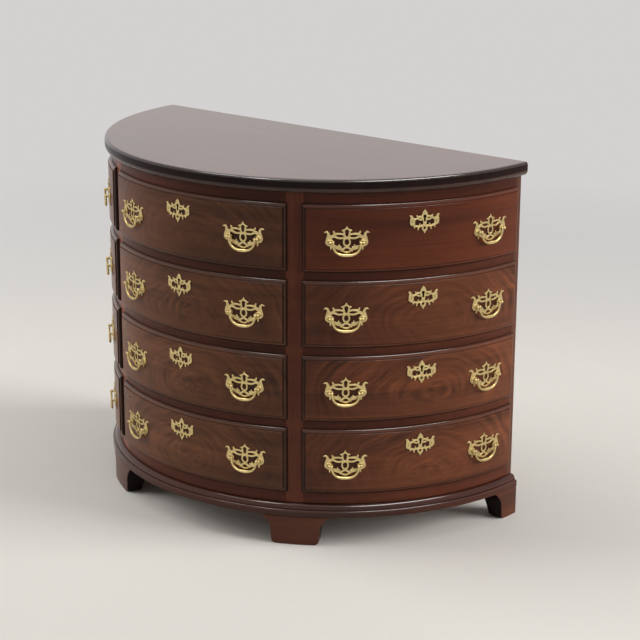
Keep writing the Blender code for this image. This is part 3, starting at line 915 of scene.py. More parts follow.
front = {
    "lipProud": 0.010, "depth": 0.020,
    "edge": 0.0016,  # upright edge of the lip
    "thumb": 0.0080,  # width of the thumbnail moulding
    "quirk": 0.0015,  # flat line inside it
    "step": 0.0024,  # step up to the flat field
    "fieldEdge": ((0.0003, 0.0004), (0.0007, 0.0), (0.0050, 0.0)),  # past the quirk, below the field
    "roundSteps": 6, "acrossSteps": 40, "upSteps": 10, "weld": 2e-6, "smooth": 24.0,
    "lipShade": {  # painted shade: darkness of the edge, the lip and the quirk
        "side": (1.0, 0.35, 0.95), "top": (0.5, 0.0, 0.2), "bottom": (1.0, 0.0, 0.55)},
    "lipShadeEdge": 0.3,  # share of the moulding that counts as edge
    "lipShadeQuirk": 0.0006,  # how far the quirk's painted shade reaches on to the moulding
    "lipShadeField": 0.0005,  # and on to the field
    "sideClearance": 0.0012, "topClearance": 0.0015, "bottomClearance": 0.0010, "coreOverlap": 0.002,
    "keyholeBelowLip": 0.033, "keyRadius": 0.0035, "keySides": 20, "keySlotHalf": 0.0019,
    "keySlotLength": 0.0112, "keyMargin": 0.005,
}
veneers = {  # how brown and grey (partly a painted sheen of reflected light), how figured: a column's drawers, then single ones
    "left": (0.75, 1.0), "centre": (0.96, 1.0), "right": (0.48, 1.0),
    "left_1": (0.75, 0.7), "centre_1": (0.96, 0.7), "right_1": (0.0, 0.0),
}
drawer = {
    "wall": 0.012, "bottom": 0.007, "bottomRaise": 0.014, "bottomSteps": 32, "topClearance": 0.016,
    "back": 0.150, "backDrop": 0.006, "edgeRound": 0.0010, "guideWidth": 0.014, "guideLength": 0.230,
    "guideLift": 0.001, "guideClearance": 0.0006, "tails": 4, "tailDepth": 0.012, "tailRoot": 0.002,
    "tailWide": 0.0118, "tailNarrow": 0.0085, "tailRound": 0.0002, "tailGap": 0.00012,
    "tailOpen": 4,  # a socket runs past the front's end by this many gaps
}
faceRadius = caseRadius + front["lipProud"]
lipBack = caseRadius + gap
frontInner = caseRadius - front["depth"]
lipHalf = windowHalf + case["lipOverlap"] / caseRadius
coreHalf = windowHalf - front["sideClearance"] / caseRadius
keyHeight = lipTop - front["keyholeBelowLip"]
boxHigh = opening - drawer["topClearance"]
sideSlope = tan(stileTurn)


def lipLevels():
    # (inset from the lip's edge, radius): edge, thumbnail curve, step, field
    start = lipBack + front["edge"]
    end = faceRadius - front["step"]
    levels = [(0.0, lipBack), (0.0, start)]
    for angle in spread(0.0, quarterTurn, front["roundSteps"])[1:]:
        levels.append((front["thumb"] * (1 - cos(angle)), start + (end - start) * sin(angle)))
    inner = front["thumb"] + front["quirk"]
    levels.append((inner, end))
    return levels + [(inner + past, faceRadius - below) for past, below in front["fieldEdge"]]


def edgeLines(low, high, insets, steps):
    # Positions along one direction, with their levels: the moulding at both ends, plain steps between
    inner = spread(low + insets[-1], high - insets[-1], steps)[1:-1]
    last = len(insets) - 1
    lines = [low + inset for inset in insets] + inner + [high - inset for inset in reversed(insets)]
    levels = list(range(last + 1)) + [last] * len(inner) + list(range(last, -1, -1))
    return list(zip(lines, levels))


def slabMesh():
    levels = lipLevels()
    insets = [inset for inset, _ in levels]
    angles = edgeLines(-lipHalf, lipHalf, [inset / caseRadius for inset in insets], front["acrossSteps"])
    heights = edgeLines(-case["lipOverlap"], lipTop, insets, front["upSteps"])
    rings = []
    for angle, side in angles:
        ring = [polar(levels[min(side, level)][1], angle, height) for height, level in heights]
        ring += [polar(lipBack, angle, height) for height, _ in reversed(heights[1:-1])]
        rings.append(ring)
    shape = bmesh.new()
    skin(shape, rings, caps=False)
    return toMesh(shape, "drawerFront", front["weld"])


def coreMesh():
    low, high = front["bottomClearance"], opening - front["topClearance"]
    profile = rectangle(frontInner, lipBack + front["coreOverlap"], low, high)
    return made("core", sweepArc, profile, spread(-coreHalf, coreHalf, front["acrossSteps"]))


def cornerPlace(side):
    # At the end of the core: X outwards along the radius, Y into the core, Z up
    angle = side * coreHalf
    out = polar(1.0, angle)
    into = Vector((-side * cos(angle), -side * sin(angle), 0))
    turn = Matrix((out, into, Vector((0, 0, 1)))).transposed().to_4x4()
    return Matrix.Translation(polar(frontInner, angle)) @ turn


def addTails(shape, sides, grow):
    # Dovetails at the ends of the front, wider towards the drawer's face
    root, depth = -drawer["tailRoot"], drawer["tailDepth"] + grow
    wide, narrow = drawer["tailWide"] + grow, drawer["tailNarrow"] + grow
    points = [(root, -narrow), (depth, -wide), (depth, wide), (root, narrow)]
    ends = (-grow * drawer["tailOpen"], drawer["wall"] + grow)
    for side in sides:
        place = cornerPlace(side)
        for index in range(drawer["tails"]):
            centre = boxHigh * (index + 0.5) / drawer["tails"]
            skin(shape, [[place @ Vector((x, into, centre + z)) for x, z in points] for into in ends])


def keyholeCutters():
    start = -faceRadius - front["keyMargin"]
    reach = front["depth"] + front["lipProud"] + 2 * front["keyMargin"]
    place = Matrix.Translation((0, start, keyHeight)) @ Matrix.Rotation(-quarterTurn, 4, "X")
    profile = [(front["keyRadius"], 0.0), (front["keyRadius"], reach)]
    hole = made("keyRound", turned, profile, place, front["keySides"])
    half = front["keySlotHalf"]
    low = keyHeight - front["keySlotLength"]
    return hole, made("keySlot", block, (-half, start, low), (half, start + reach, keyHeight))


def frontMesh():
    cutters = [made("sockets", addTails, (-1, 1), drawer["tailGap"]), *keyholeCutters()]
    steps = [("UNION", coreMesh())] + [("DIFFERENCE", cutter) for cutter in cutters]
    return smoothed(carved(slabMesh(), steps), front["smooth"])


def lipInsets(point):
    # How far a point lies inside the lip's outline: from the sides, the top and the bottom
    side = (lipHalf - abs(atan2(point.x, -point.y))) * caseRadius
    return {"side": side, "top": lipTop - point.z, "bottom": point.z + case["lipOverlap"]}


def paintedLipShade(point):
    # Painted shade along the lip's edge and in the quirk round the field
    insets = lipInsets(point)
    nearest = min(insets, key=insets.get)
    inset = insets[nearest]
    field = front["thumb"] + front["quirk"] + front["lipShadeField"]
    if hypot(point.x, point.y) < lipBack - gap or inset > field:
        return 0.0
    edge, lip, quirk = front["lipShade"][nearest]
    if inset < front["thumb"] * front["lipShadeEdge"]:
        return edge
    return lip if inset < front["thumb"] - front["lipShadeQuirk"] else quirk


def frontFinish(face):
    # The upper lip is rubbed brighter than the rest, and the part behind the lip takes the rails'
    # painted-shade finish
    insets = lipInsets(face.center)
    if hypot(face.center.x, face.center.y) < lipBack - gap:
        return "railPaintedShade"
    return "polishedLip" if insets["top"] < min(insets["side"], front["thumb"]) else "polishedFront"


def boxMesh():
    # Sides with dovetails, back, bottom and guide strips
    face = frontInner - gap
    corner = polar(face, coreHalf)
    behind = -drawer["back"]
    inFront = behind - drawer["wall"]
    backHalf = corner.x - (behind - corner.y) * sideSlope
    thick = drawer["wall"] / cos(stileTurn)
    floorTop = drawer["bottomRaise"] + drawer["bottom"]
    ease = drawer["edgeRound"]

    def onFront(x):
        return (x, -sqrt(face ** 2 - x ** 2))

    boards = []
    for side in (-1, 1):
        outline = [(side * corner.x, corner.y), (side * backHalf, behind),
                   (side * (backHalf - thick), behind), onFront(side * (corner.x - thick))]
        wall = eased(made("side", prism, outline, gap, boxHigh), ease)
        tails = eased(made("tails", addTails, [side], 0.0), drawer["tailRound"], 1)
        for mesh in (wall, tails):
            boards.append(setGrain(mesh, grainSlant(side), logSlice("drawerSide", side)))
    half = backHalf - thick - gap
    wide = half + drawer["wall"] * sideSlope
    outline = [(-wide, inFront), (wide, inFront), (half, behind), (-half, behind)]
    mesh = eased(made("back", prism, outline, floorTop + gap, boxHigh - drawer["backDrop"]), ease)
    boards.append(setGrain(mesh, grainAcross, logSlice("drawerBack")))
    inset = thick + gap
    near = corner.x - inset
    curve = [polar(face, angle) for angle in spread(-coreHalf, coreHalf, drawer["bottomSteps"])]
    outline = [(point.x, point.y) for point in curve if abs(point.x) < near - gap]
    outline += [onFront(near), (backHalf - inset, behind), (inset - backHalf, behind), onFront(-near)]
    mesh = made("bottom", prism, outline, drawer["bottomRaise"], floorTop)
    boards.append(setGrain(mesh, grainAcross, logSlice("drawerBottom")))
    shape = bmesh.new()
    start = case["runnerWidth"] / 2 + drawer["guideClearance"]
    for side in (-1, 1):
        left, right = sorted((side * start, side * (start + drawer["guideWidth"])))
        block(shape, (left, inFront - drawer["guideLength"], drawer["guideLift"]),
              (right, inFront, drawer["bottomRaise"] - gap))
    boards.append(setGrain(eased(toMesh(shape, "guides"), ease), grainDeep, logSlice("guide")))
    return joinMeshes("drawerBox", boards)


lock = {
    "plateWide": 0.056, "plateTall": 0.036, "plateThick": 0.0022, "plateRound": 0.0008,
    "caseWide": 0.042, "caseTall": 0.028, "caseThick": 0.009, "caseRound": 0.0012, "keyAbove": 0.006,
    "screwRadius": 0.0030, "screwAcross": 0.86, "screwHeights": (0.18, 0.82),
}


def lockMeshes():
    # Plate with its screws, and case, on the inner face of a drawer front
    half = lock["plateWide"] / 2
    seat = -sqrt(frontInner ** 2 - half ** 2)
    outside = seat + lock["plateThick"]
    low = keyHeight - lock["plateTall"] / 2 - lock["keyAbove"]
    plate = made("lockPlate", block, (-half, seat, low), (half, outside, low + lock["plateTall"]))
    shape = bmesh.new()
    for side in (-1, 1):
        for share in lock["screwHeights"]:
            spot = (side * half * lock["screwAcross"], outside, low + lock["plateTall"] * share)
            screwHead(shape, spot, lock["screwRadius"])
    screws = smoothed(toMesh(shape, "lockScrews"), screw["smooth"])
    half = lock["caseWide"] / 2
    low += (lock["plateTall"] - lock["caseTall"]) / 2
    body = made("lockCase", block, (-half, outside + gap / 3, low),
                (half, outside + lock["caseThick"], low + lock["caseTall"]))
    plate = joinMeshes("lockPlate", [eased(plate, lock["plateRound"]), screws])
    return plate, eased(body, lock["caseRound"], 3)


# Brass ornament. Strokes are (across, up, half width) in millimetres; the left half mirrors the right one.
# They run together with small fillets, as in a casting, and the open spaces between them are the piercings.

ornament = {
    "thickness": 0.0019, "arris": 0.00045, "seat": 0.00005, "fillet": 1.2, "cell": 0.45, "spacing": 0.9,
    "fewestPoints": 8,
    "smallest": 10,  # an outline with fewer points is left out
    "margin": (2, 6), "flat": 0.99, "curveSteps": 6, "farAway": 1e3,
}
pullStrokes = {
    "spire": [(0, 36.8, 0.5), (0, 34.0, 1.9), (0, 31.6, 2.4)],
    "roof": [(0, 32.2, 1.7), (3.8, 29.4, 1.8), (7.4, 27.2, 1.8), (10.6, 26.8, 1.4)],
    "keystone": [(6.6, 26.6, 1.9), (6.2, 22.6, 2.0), (5.4, 17.8, 2.0), (4.8, 13.6, 2.1), (5.0, 10.6, 2.1)],
    "crossbar": [(0, 10.8, 2.0), (6.0, 10.6, 2.0)],
    "oval": [(0, 9.6, 1.8), (5.2, 6.8, 1.8), (7.0, 0.6, 1.9), (5.2, -5.8, 1.9), (0, -9.2, 2.1)],
    "upperBar": [(6.0, 17.2, 2.0), (12.0, 18.9, 2.0), (19.0, 19.3, 2.1), (25.5, 18.2, 2.2),
                 (30.0, 14.8, 2.6)],
    "barFinial": [(27.0, 19.2, 2.4), (29.2, 22.8, 2.1), (29.8, 24.4, 1.5)],
    "lowerBar": [(6.0, 10.2, 2.0), (12.0, 9.0, 2.0), (18.7, 9.2, 2.1), (25.0, 11.8, 2.3), (30.0, 14.4, 2.6)],
    "earRoot": [(29.0, 15.2, 2.8), (33.0, 12.6, 3.2), (38.0, 9.6, 4.8)],
    "ear": [(41.4, 5.4, 5.4), (40.6, 11.4, 4.4), (40.4, 16.2, 3.2), (41.8, 20.6, 2.6), (44.6, 23.0, 2.1),
            (47.8, 22.9, 1.5), (50.4, 21.8, 0.9)],
    "boss": [(38.0, 0.4, 9.9), (38.0, 0.3, 9.9)],
    "arm": [(31.5, -8.5, 3.2), (26.5, -11.8, 2.4), (20.5, -14.6, 2.2), (14.0, -16.2, 2.1), (9.0, -15.6, 2.1),
            (4.0, -13.0, 2.1), (0, -11.2, 2.3)],
    "armFinial": [(17.6, -14.0, 2.6), (17.2, -8.0, 2.0), (17.2, -6.2, 1.2)],
    "armLeaf": [(12.4, -10.8, 1.4), (17.0, -12.8, 2.0), (21.8, -9.8, 1.4)],
    "sideLeaf": [(25.8, -11.0, 2.2), (25.0, -8.0, 1.2)],
    "eye": [(7.6, -15.4, 1.8), (8.6, -18.8, 1.8), (5.4, -22.0, 1.8), (0, -23.2, 2.0)],
    "eyeLeaf": [(9.4, -17.8, 1.8), (12.6, -20.6, 1.1)],
    "drop": [(34.6, -9.0, 2.6), (35.4, -14.4, 1.8), (35.2, -16.4, 1.2)],
}
pullHoles = {"bossSlit": [(33.8, 8.2, 0.6), (31.2, 6.2, 1.1), (29.8, 3.0, 0.6)]}
keyStrokes = {  # measured down from the top of the drawer's lip
    "spire": [(0, -17.8, 0.7), (0, -21.6, 2.8), (0, -26.0, 5.8), (0, -30.4, 7.4)],
    "column": [(0, -31.4, 7.6), (0, -35.4, 6.8), (0, -41.4, 5.2), (0, -47.4, 4.2), (0, -52.0, 3.8)],
    "sideRing": [(5.0, -36.0, 1.9), (8.0, -33.6, 1.9), (12.4, -33.4, 1.9), (16.2, -36.0, 2.1),
                 (13.2, -39.6, 1.9), (8.6, -40.4, 1.9), (4.6, -39.0, 1.9)],
    "ringFinial": [(15.6, -34.6, 2.2), (18.4, -31.8, 1.8), (19.2, -30.4, 1.2)],
    "ringArm": [(16.0, -36.4, 2.2), (20.4, -37.6, 2.2), (25.0, -39.4, 3.0)],
    "ear": [(29.4, -47.0, 6.2), (29.6, -41.4, 5.8), (30.6, -36.6, 4.0), (31.2, -33.4, 3.0),
            (32.8, -30.8, 2.3), (35.0, -30.4, 1.4)],
    "arm": [(27.0, -52.0, 2.8), (21.0, -54.2, 2.2), (14.5, -55.6, 2.1), (8.0, -54.6, 2.1), (0, -52.4, 2.4)],
    "armFinial": [(13.4, -55.4, 2.0), (12.0, -50.6, 1.5), (11.6, -49.4, 1.0)],
    "armDrop": [(14.6, -56.0, 2.1), (15.6, -61.4, 1.7), (15.8, -63.4, 1.0)],
    "earDrop": [(23.4, -53.6, 2.2), (24.4, -57.6, 1.7), (24.6, -59.0, 1.0)],
    "loop": [(0, -53.6, 2.1), (4.4, -56.2, 2.0), (5.0, -60.4, 2.0), (2.8, -64.4, 2.2), (0, -66.8, 2.6)],
    "tip": [(0, -66.0, 2.6), (0, -69.4, 1.7), (0, -71.6, 0.8)],
}
keyHoles = {
    "earSlit": [(29.0, -41.6, 0.5), (28.4, -46.6, 0.7)],
    "keyhole": [(0, -33.0, 3.6), (0, -33.1, 3.6)],
    "keySlot": [(0, -34.0, 2.0), (0, -43.2, 2.2)],
}


def curveThrough(points):
    # A smooth run through a stroke's few points
    points = [np.array(point, float) for point in points]
    ends = [2 * points[0] - points[1]] + points + [2 * points[-1] - points[-2]]
    run = []
    for a, b, c, d in zip(ends, ends[1:], ends[2:], ends[3:]):
        for i in range(ornament["curveSteps"]):
            t = i / ornament["curveSteps"]
            square = (2 * a - 5 * b + 4 * c - d) * t ** 2
            cube = (3 * b - a - 3 * c + d) * t ** 3
            run.append((2 * b + (c - a) * t + square + cube) / 2)
    return run + [points[-1]]


def strokeDepth(x, z, points):
    # Distance outside the stroke, negative inside
    depth = np.full_like(x, ornament["farAway"])
    run = curveThrough(points)
    for a, b in zip(run, run[1:]):
        step = b[:2] - a[:2]
        share = ((x - a[0]) * step[0] + (z - a[1]) * step[1]) / max(step @ step, 1e-9)
        share = np.clip(share, 0, 1)
        away = np.hypot(x - a[0] - share * step[0], z - a[1] - share * step[1])
        depth = np.minimum(depth, away - a[2] - share * (b[2] - a[2]))
    return depth


def castDepth(x, z, strokes, holes):
    depth = np.full_like(x, ornament["farAway"])
    blend = ornament["fillet"]
    for points in strokes.values():
        other = strokeDepth(x, z, points)
        mixing = np.clip(0.5 + 0.5 * (depth - other) / blend, 0, 1)
        depth = depth + (other - depth) * mixing - blend * mixing * (1 - mixing)
    for points in holes.values():
        depth = np.maximum(depth, -strokeDepth(x, z, points))
    return depth


def crossings(depth, xs, zs):
    # Points where the edges of the grid cross zero depth, and which of them follow one another
    spots = {}
    links = {}
    for i in range(len(xs) - 1):
        for j in range(len(zs) - 1):
            corners = [(i, j), (i + 1, j), (i + 1, j + 1), (i, j + 1)]
            crossed = []
            for a, b in zip(corners, corners[1:] + corners[:1]):
                if (depth[a] < 0) != (depth[b] < 0):
                    key = (min(a, b), max(a, b))
                    share = depth[a] / (depth[a] - depth[b])
                    ends = ((xs[a[0]], xs[b[0]]), (zs[a[1]], zs[b[1]]))
                    spots[key] = tuple(first + (second - first) * share for first, second in ends)
                    crossed.append(key)
            for a, b in zip(crossed[::2], crossed[1::2]):
                links.setdefault(a, []).append(b)
                links.setdefault(b, []).append(a)
    return spots, links


def outlines(depth, xs, zs):
    # Closed lines of zero depth, as lists of (x, z)
    spots, links = crossings(depth, xs, zs)
    loops = []
    while links:
        start = next(iter(links))
        loop = [start]
        here, before = links[start][0], start
        while here != start:
            loop.append(here)
            here, before = next(k for k in links[here] if k != before or links[here].count(k) > 1), here
        for key in loop:
            del links[key]
        loops.append([spots[key] for key in loop])
    return loops


def evenly(loop):
    points = np.array(loop + loop[:1])
    along = np.concatenate([[0], np.cumsum(np.hypot(*np.diff(points, axis=0).T))])
    count = max(ornament["fewestPoints"], int(round(along[-1] / ornament["spacing"])))
    wanted = np.linspace(0, along[-1], count, endpoint=False)
    return np.stack([np.interp(wanted, along, points[:, k]) for k in (0, 1)], axis=1)


def castCurve(name, loops):
    curve = bpy.data.curves.new(name, "CURVE")
    curve.dimensions = "2D"
    curve.fill_mode = "BOTH"
    curve.extrude = ornament["thickness"] / 2 - ornament["arris"]
    curve.bevel_depth = ornament["arris"]
    curve.bevel_resolution = 1
    curve.offset = -ornament["arris"]
    for points in map(evenly, loops):
        if len(points) < ornament["smallest"]:
            continue
        spline = curve.splines.new("POLY")
        spline.points.add(len(points) - 1)
        for spot, (across, up) in zip(spline.points, points):
            spot.co = (across / 1000, up / 1000, 0, 1)  # millimetres to metres
        spline.use_cyclic_u = True
    return curve


def castPlate(name, strokes, holes):
    # Pierced plate lying on the bow: X across, Z up, -Y out of the drawer, origin on the drawer's face
    points = [point for stroke in strokes.values() for point in stroke]
    aside, beyond = ornament["margin"]
    reach = max(across + half for across, _, half in points) + aside
    heights = [up for _, up, _ in points]
    xs = np.arange(-reach, reach + ornament["cell"], ornament["cell"])
    zs = np.arange(min(heights) - beyond, max(heights) + beyond, ornament["cell"])
    x, z = np.meshgrid(xs, zs, indexing="ij")
    loops = outlines(castDepth(np.abs(x), z, strokes, holes), xs, zs)
    mesh = settle(linked("helper", castCurve(name, loops)))
    shape = bmesh.new()
    shape.from_mesh(mesh)
    bmesh.ops.remove_doubles(shape, verts=shape.verts, dist=weldReach)
    bmesh.ops.recalc_face_normals(shape, faces=shape.faces)
    for face in shape.faces:
        face.smooth = abs(face.normal.z) < ornament["flat"]
    for vertex in shape.verts:
        across, up, out = vertex.co
        radius = faceRadius + out + ornament["thickness"] / 2 + ornament["seat"]
        vertex.co = polar(radius, across / faceRadius, up)
        vertex.co.y += faceRadius
    bmesh.ops.recalc_face_normals(shape, faces=shape.faces)
    shape.to_mesh(mesh)
    shape.free()
    print(name, len(loops), "outlines", len(mesh.polygons), "faces")
    return mesh


bail = {
    "leg": 0.0310, "drop": 0.0290, "fullness": 2.5, "legRadius": 0.0026, "swell": 0.0009,
    "swellPower": 8, "point": 0.16, "pointPower": 60, "pinRadius": 0.0015, "pinReach": 0.0388,
    "pinTip": 0.0004, "collarRadius": 0.0030, "collarStart": -0.0026,
    "collar": ((0.7, -0.0022), (1.0, -0.0008), (1.0, 0.0008), (0.7, 0.0020)),  # share of its radius, along
    "collarEnd": 0.0022, "steps": 40, "sides": 14, "pinSides": 18,
}


def bailMesh():
    # Drop handle hanging from its hinge line; thicker below with a slight point
    stations = []
    for angle in spread(0.0, pi, bail["steps"]):
        side = 1 if angle < quarterTurn else -1
        x = -bail["leg"] * abs(cos(angle)) ** (2 / bail["fullness"]) * side
        z = -bail["drop"] * sin(angle) ** (2 / bail["fullness"])
        radius = bail["legRadius"] + bail["swell"] * sin(angle) ** bail["swellPower"]
        stations.append((Vector((x, 0, z)), radius, 1 + bail["point"] * sin(angle) ** bail["pointPower"]))
    last = len(stations) - 1
    rings = []
    for i, (spot, radius, deep) in enumerate(stations):
        along = (stations[min(i + 1, last)][0] - stations[max(i - 1, 0)][0]).normalized()
        if i in (0, last):
            along = Vector((0, 0, -1 if i == 0 else 1))
        outward = Vector((along.z, 0, -along.x))
        ring = []
        for k in range(bail["sides"]):
            turn = 2 * pi * k / bail["sides"]
            reach = radius * (deep if cos(turn) < 0 else 1)
            ring.append(spot + outward * (reach * cos(turn)) + Vector((0, radius * sin(turn), 0)))
        rings.append(ring)
    shape = bmesh.new()
    skin(shape, rings)
    # Eye at the top of each leg, with the pin that turns in the post
    reach = bail["pinReach"] - bail["leg"]
    profile = [(bail["pinTip"], bail["collarStart"])]
    profile += [(bail["collarRadius"] * share, along) for share, along in bail["collar"]]
    profile += [(bail["pinRadius"], bail["collarEnd"]), (bail["pinRadius"], reach), (bail["pinTip"], reach)]
    for side in (-1, 1):
        place = Matrix.Translation((side * bail["leg"], 0, 0)) @ Matrix.Rotation(side * quarterTurn, 4, "Y")
        turned(shape, profile, place, bail["pinSides"])
    return smoothed(toMesh(shape, "bail"))


post = {
    "spacing": 0.076, "standoff": 0.0085, "flange": 0.0069, "sink": 0.0003, "tip": 0.0004,
    "rosette": (  # share of the flange, above its seat, depth of the petals
        (1.0, -0.0003, 0.0010), (1.0, 0.0006, 0.0010), (0.92, 0.0012, 0.0010), (0.72, 0.0019, 0.0006),
        (0.56, 0.0021, 0.0), (0.50, 0.0017, 0.0)),
    "neck": 0.0024,
    "neckRoot": ((1.15, 0.0020), (1.0, 0.0030)),  # share of the neck, above the seat
    "neckTop": -0.0026, "ball": 0.0035, "ballArc": (-0.8, 0.93 * quarterTurn), "ballSteps": 6,
    "petals": 12, "sides": 48,
}


def postMesh():
    # Two turned posts of a pull: flange on the plate, neck, and a round head that takes the bail's pin
    shape = bmesh.new()
    for side in (-1, 1):
        x = side * post["spacing"] / 2
        seat = post["standoff"] + faceRadius - sqrt(faceRadius ** 2 - x ** 2) - ornament["thickness"]
        profile = [(post["tip"], -seat - post["sink"])]
        profile += [(post["flange"] * share, rise - seat, petal) for share, rise, petal in post["rosette"]]
        profile += [(post["neck"] * share, rise - seat) for share, rise in post["neckRoot"]]
        profile.append((post["neck"], post["neckTop"]))
        for angle in spread(*post["ballArc"], post["ballSteps"]):
            profile.append((post["ball"] * cos(angle), post["ball"] * sin(angle)))
        place = Matrix.Translation((x, 0, 0)) @ Matrix.Rotation(quarterTurn, 4, "X")
        turned(shape, profile, place, post["sides"], post["petals"])
    return smoothed(toMesh(shape, "posts"))


def pullPlace(joint):
    # Pull axes at rest: X along the hinge, -Y away from the drawer, Z up
    angle = atan2(-joint["axis"][1], -joint["axis"][0])
    return Matrix.Translation(joint["pos_m"]) @ Matrix.Rotation(angle, 4, "Z")


def buildDrawers():
    frontShape = setMask(frontMesh(), "lipShade", paintedLipShade)
    setFinishes(frontShape, ["polishedFront", "polishedLip", "railPaintedShade"], frontFinish)
    straight = [boxMesh(), *lockMeshes()]
    number = 0
    for column, turn in columnTurns.items():
        spin = Matrix.Rotation(turn, 4, "Z")
        boxShape, lockPlate, lockCase = (mesh.copy() for mesh in straight)
        for mesh in (boxShape, lockPlate, lockCase):
            mesh.transform(spin)
        for row in range(1, rowCount + 1):
            tag = f"{column}_{row}"
            body = "drawer_" + tag
            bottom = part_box("drawer_front_" + tag)[0].z + case["lipOverlap"]
            place = axisPlace @ Matrix.Translation((0, 0, bottom))
            mesh = setGrain(frontShape.copy(), grainRound, logSlice("front", number))
            toneAndSheen, figured = veneers.get(tag, veneers[column])
            setMask(mesh, "toneAndSheen", lambda point: toneAndSheen)
            setMask(mesh, "figured", lambda point: figured)
            mesh.transform(spin)
            stands = ["drawer_front_" + tag]
            addPiece("front_" + tag, mesh, "polishedFront", body, place, stands)
            stands = ["drawer_box_" + tag]
            addPiece("box_" + tag, boxShape, "drawerLining", body, place, stands)
            addPiece("lockPlate_" + tag, lockPlate, "castBrass", body, place)
            addPiece("lockCase_" + tag, lockCase, "lockIron", body, place)
            number += 1


def buildBrass():
    pullPlate = castPlate("backplate", pullStrokes, pullHoles)
    keyPlate = castPlate("escutcheon", keyStrokes, keyHoles)
    bailShape = bailMesh()
    postShape = postMesh()
    onFace = Matrix.Translation((0, post["standoff"], 0))
    for joint in frame["joints"]:
        child, parent = joint["child"], joint["parent"]
        if joint["type"] == "hinge":
            tag = child[len("bail_"):]
            place = pullPlace(joint)
            addPiece("drop_" + tag, bailShape, "castBrass", child, place, [child])
            addPiece("backplate_" + tag, pullPlate, "castBrass", parent, place @ onFace)
            addPiece("posts_" + tag, postShape, "turnedBrass", parent, place)
        else:
            tag = child[len("drawer_"):]
            spin = Matrix.Rotation(columnTurns[tag.split("_")[0]], 4, "Z")
            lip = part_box("drawer_front_" + tag)[1].z
            place = axisPlace @ spin @ Matrix.Translation((0, -faceRadius, lip))
            addPiece("escutcheon_" + tag, keyPlate, "castBrass", child, place)


buildDrawers()
print("drawers made")
buildBrass()
print("brass made")


# Studio: pale floor, soft lamps and the camera

studio = {
    "floor": (0.735, 0.707, 0.656), "far": (0.655, 0.640, 0.635), "fade": (1.4, 3.8),
    "floorRadius": 7.0, "floorSides": 96, "speck": (55.0, 5.0), "cloud": (1.3, 3.0), "mottle": 0.05,
    "floorRough": (0.2, 0.8, 0.55, 0.75), "dome": 0.13,
}
# The large lamps would show as white sheets in the polished top, so highlights have lamps of their own
lamps = {
    "overhead": {
        "at": (0.0, -0.3, 3.8), "to": (0.0, -0.2, 0.3), "size": (3.2, 2.2), "watts": 29, "part": "both"},
    "right": {
        "at": (5.53, 2.87, 2.7), "to": (0.2, 0, 0.5), "size": (3.8, 3.4), "watts": 485, "part": "diffuse"},
    "left": {
        "at": (-5.84, -2.56, 3.1), "to": (0, 0, 0.5), "size": (5.2, 4.4), "watts": 450, "part": "diffuse"},
    "rightGlint": {
        "at": (2.40, 0.20, 4.75), "to": (0.2, 0, 0.5), "size": (3.6, 1.1), "watts": 225, "part": "glossy"},
    "frontGlint": {
        "at": (-0.58, -2.04, 4.75), "to": (0, 0, 0.5), "size": (0.9, 1.0), "watts": 46, "part": "glossy"},
    "leftGlint": {
        "at": (-2.08, -0.91, 4.75), "to": (0, 0, 0.5), "size": (1.6, 1.0), "watts": 28, "part": "glossy"},
}


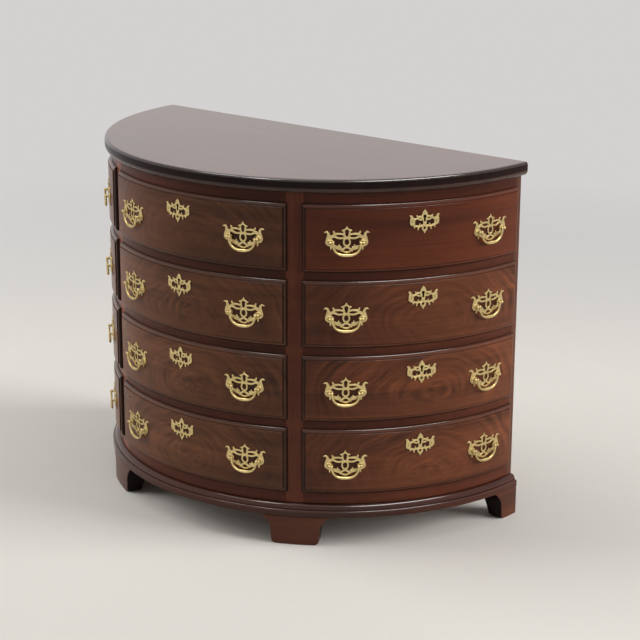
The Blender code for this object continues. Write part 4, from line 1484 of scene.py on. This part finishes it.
def buildFloor():
    shape = bmesh.new()
    bmesh.ops.create_circle(shape, cap_ends=True, segments=studio["floorSides"], radius=studio["floorRadius"])
    floor = linked("floor", toMesh(shape, "floor"))
    material, tree, shader = newMaterial("paleFloor")
    place = addNode(tree, "TexCoord").outputs["Object"]
    away = vectorCalc(tree, "LENGTH", place, output="Value")
    speck = noise(tree, place, *studio["speck"])
    cloud = noise(tree, place, *studio["cloud"])
    colour = mix(tree, fit(tree, away, *studio["fade"]), (*studio["floor"], 1), (*studio["far"], 1))
    mottle = studio["mottle"]
    shade = calc(tree, "MULTIPLY_ADD", speck, mottle, calc(tree, "MULTIPLY_ADD", cloud, mottle, 1 - mottle))
    tint = addNode(tree, "CombineColor", {0: shade, 1: shade, 2: shade}).outputs[0]
    feed(tree, shader, {
        "Base Color": mix(tree, 1.0, colour, tint, "MULTIPLY"),
        "Roughness": fit(tree, speck, *studio["floorRough"]),
        "Alpha": fit(tree, away, *studio["fade"], 1.0, 0.0)})
    floor.data.materials.append(material)


def buildWorld():
    world = bpy.data.worlds.new("studio")
    bpy.context.scene.world = world
    world.use_nodes = True
    tree = world.node_tree
    tree.nodes.clear()
    path = addNode(tree, "LightPath").outputs
    seen = calc(tree, "MAXIMUM", path["Is Camera Ray"], path["Is Transmission Ray"])
    seen = calc(tree, "MAXIMUM", seen, path["Is Glossy Ray"])
    lit = addNode(tree, "Background", {"Color": (1, 1, 1, 1), "Strength": studio["dome"]})
    pale = addNode(tree, "Background", {"Color": (*studio["far"], 1), "Strength": 1.0})
    both = addNode(tree, "MixShader", {0: seen, 1: lit.outputs[0], 2: pale.outputs[0]})
    addNode(tree, "OutputWorld", {"Surface": both.outputs[0]})


def aimed(direction):
    return Vector(direction).to_track_quat("-Z", "Y")


def buildLamps():
    for name, lamp in lamps.items():
        data = bpy.data.lights.new(name, "AREA")
        data.shape = "RECTANGLE"
        data.size, data.size_y = lamp["size"]
        data.energy = lamp["watts"]
        obj = linked(name, data)
        obj.visible_glossy = lamp["part"] != "diffuse"
        obj.visible_diffuse = lamp["part"] != "glossy"
        obj.location = lamp["at"]
        obj.rotation_euler = aimed(Vector(lamp["to"]) - Vector(lamp["at"])).to_euler()


cameraView = {
    "eye": (2.898, -3.2453, 1.7518), "forward": (-0.61344, 0.73546, -0.28773), "roll": 0.209,
    "lens": 104.13, "sensor": 36.0,
}


def buildCamera():
    data = bpy.data.cameras.new("camera")
    data.lens = cameraView["lens"]
    data.sensor_width = cameraView["sensor"]
    camera = linked("camera", data)
    camera.location = cameraView["eye"]
    camera.rotation_mode = "QUATERNION"
    roll = Quaternion((0, 0, 1), radians(cameraView["roll"]))
    camera.rotation_quaternion = aimed(cameraView["forward"]) @ roll
    bpy.context.scene.camera = camera


buildFloor()
buildWorld()
buildLamps()
buildCamera()
bpy.context.scene.view_settings.view_transform = "Standard"
print("studio made")
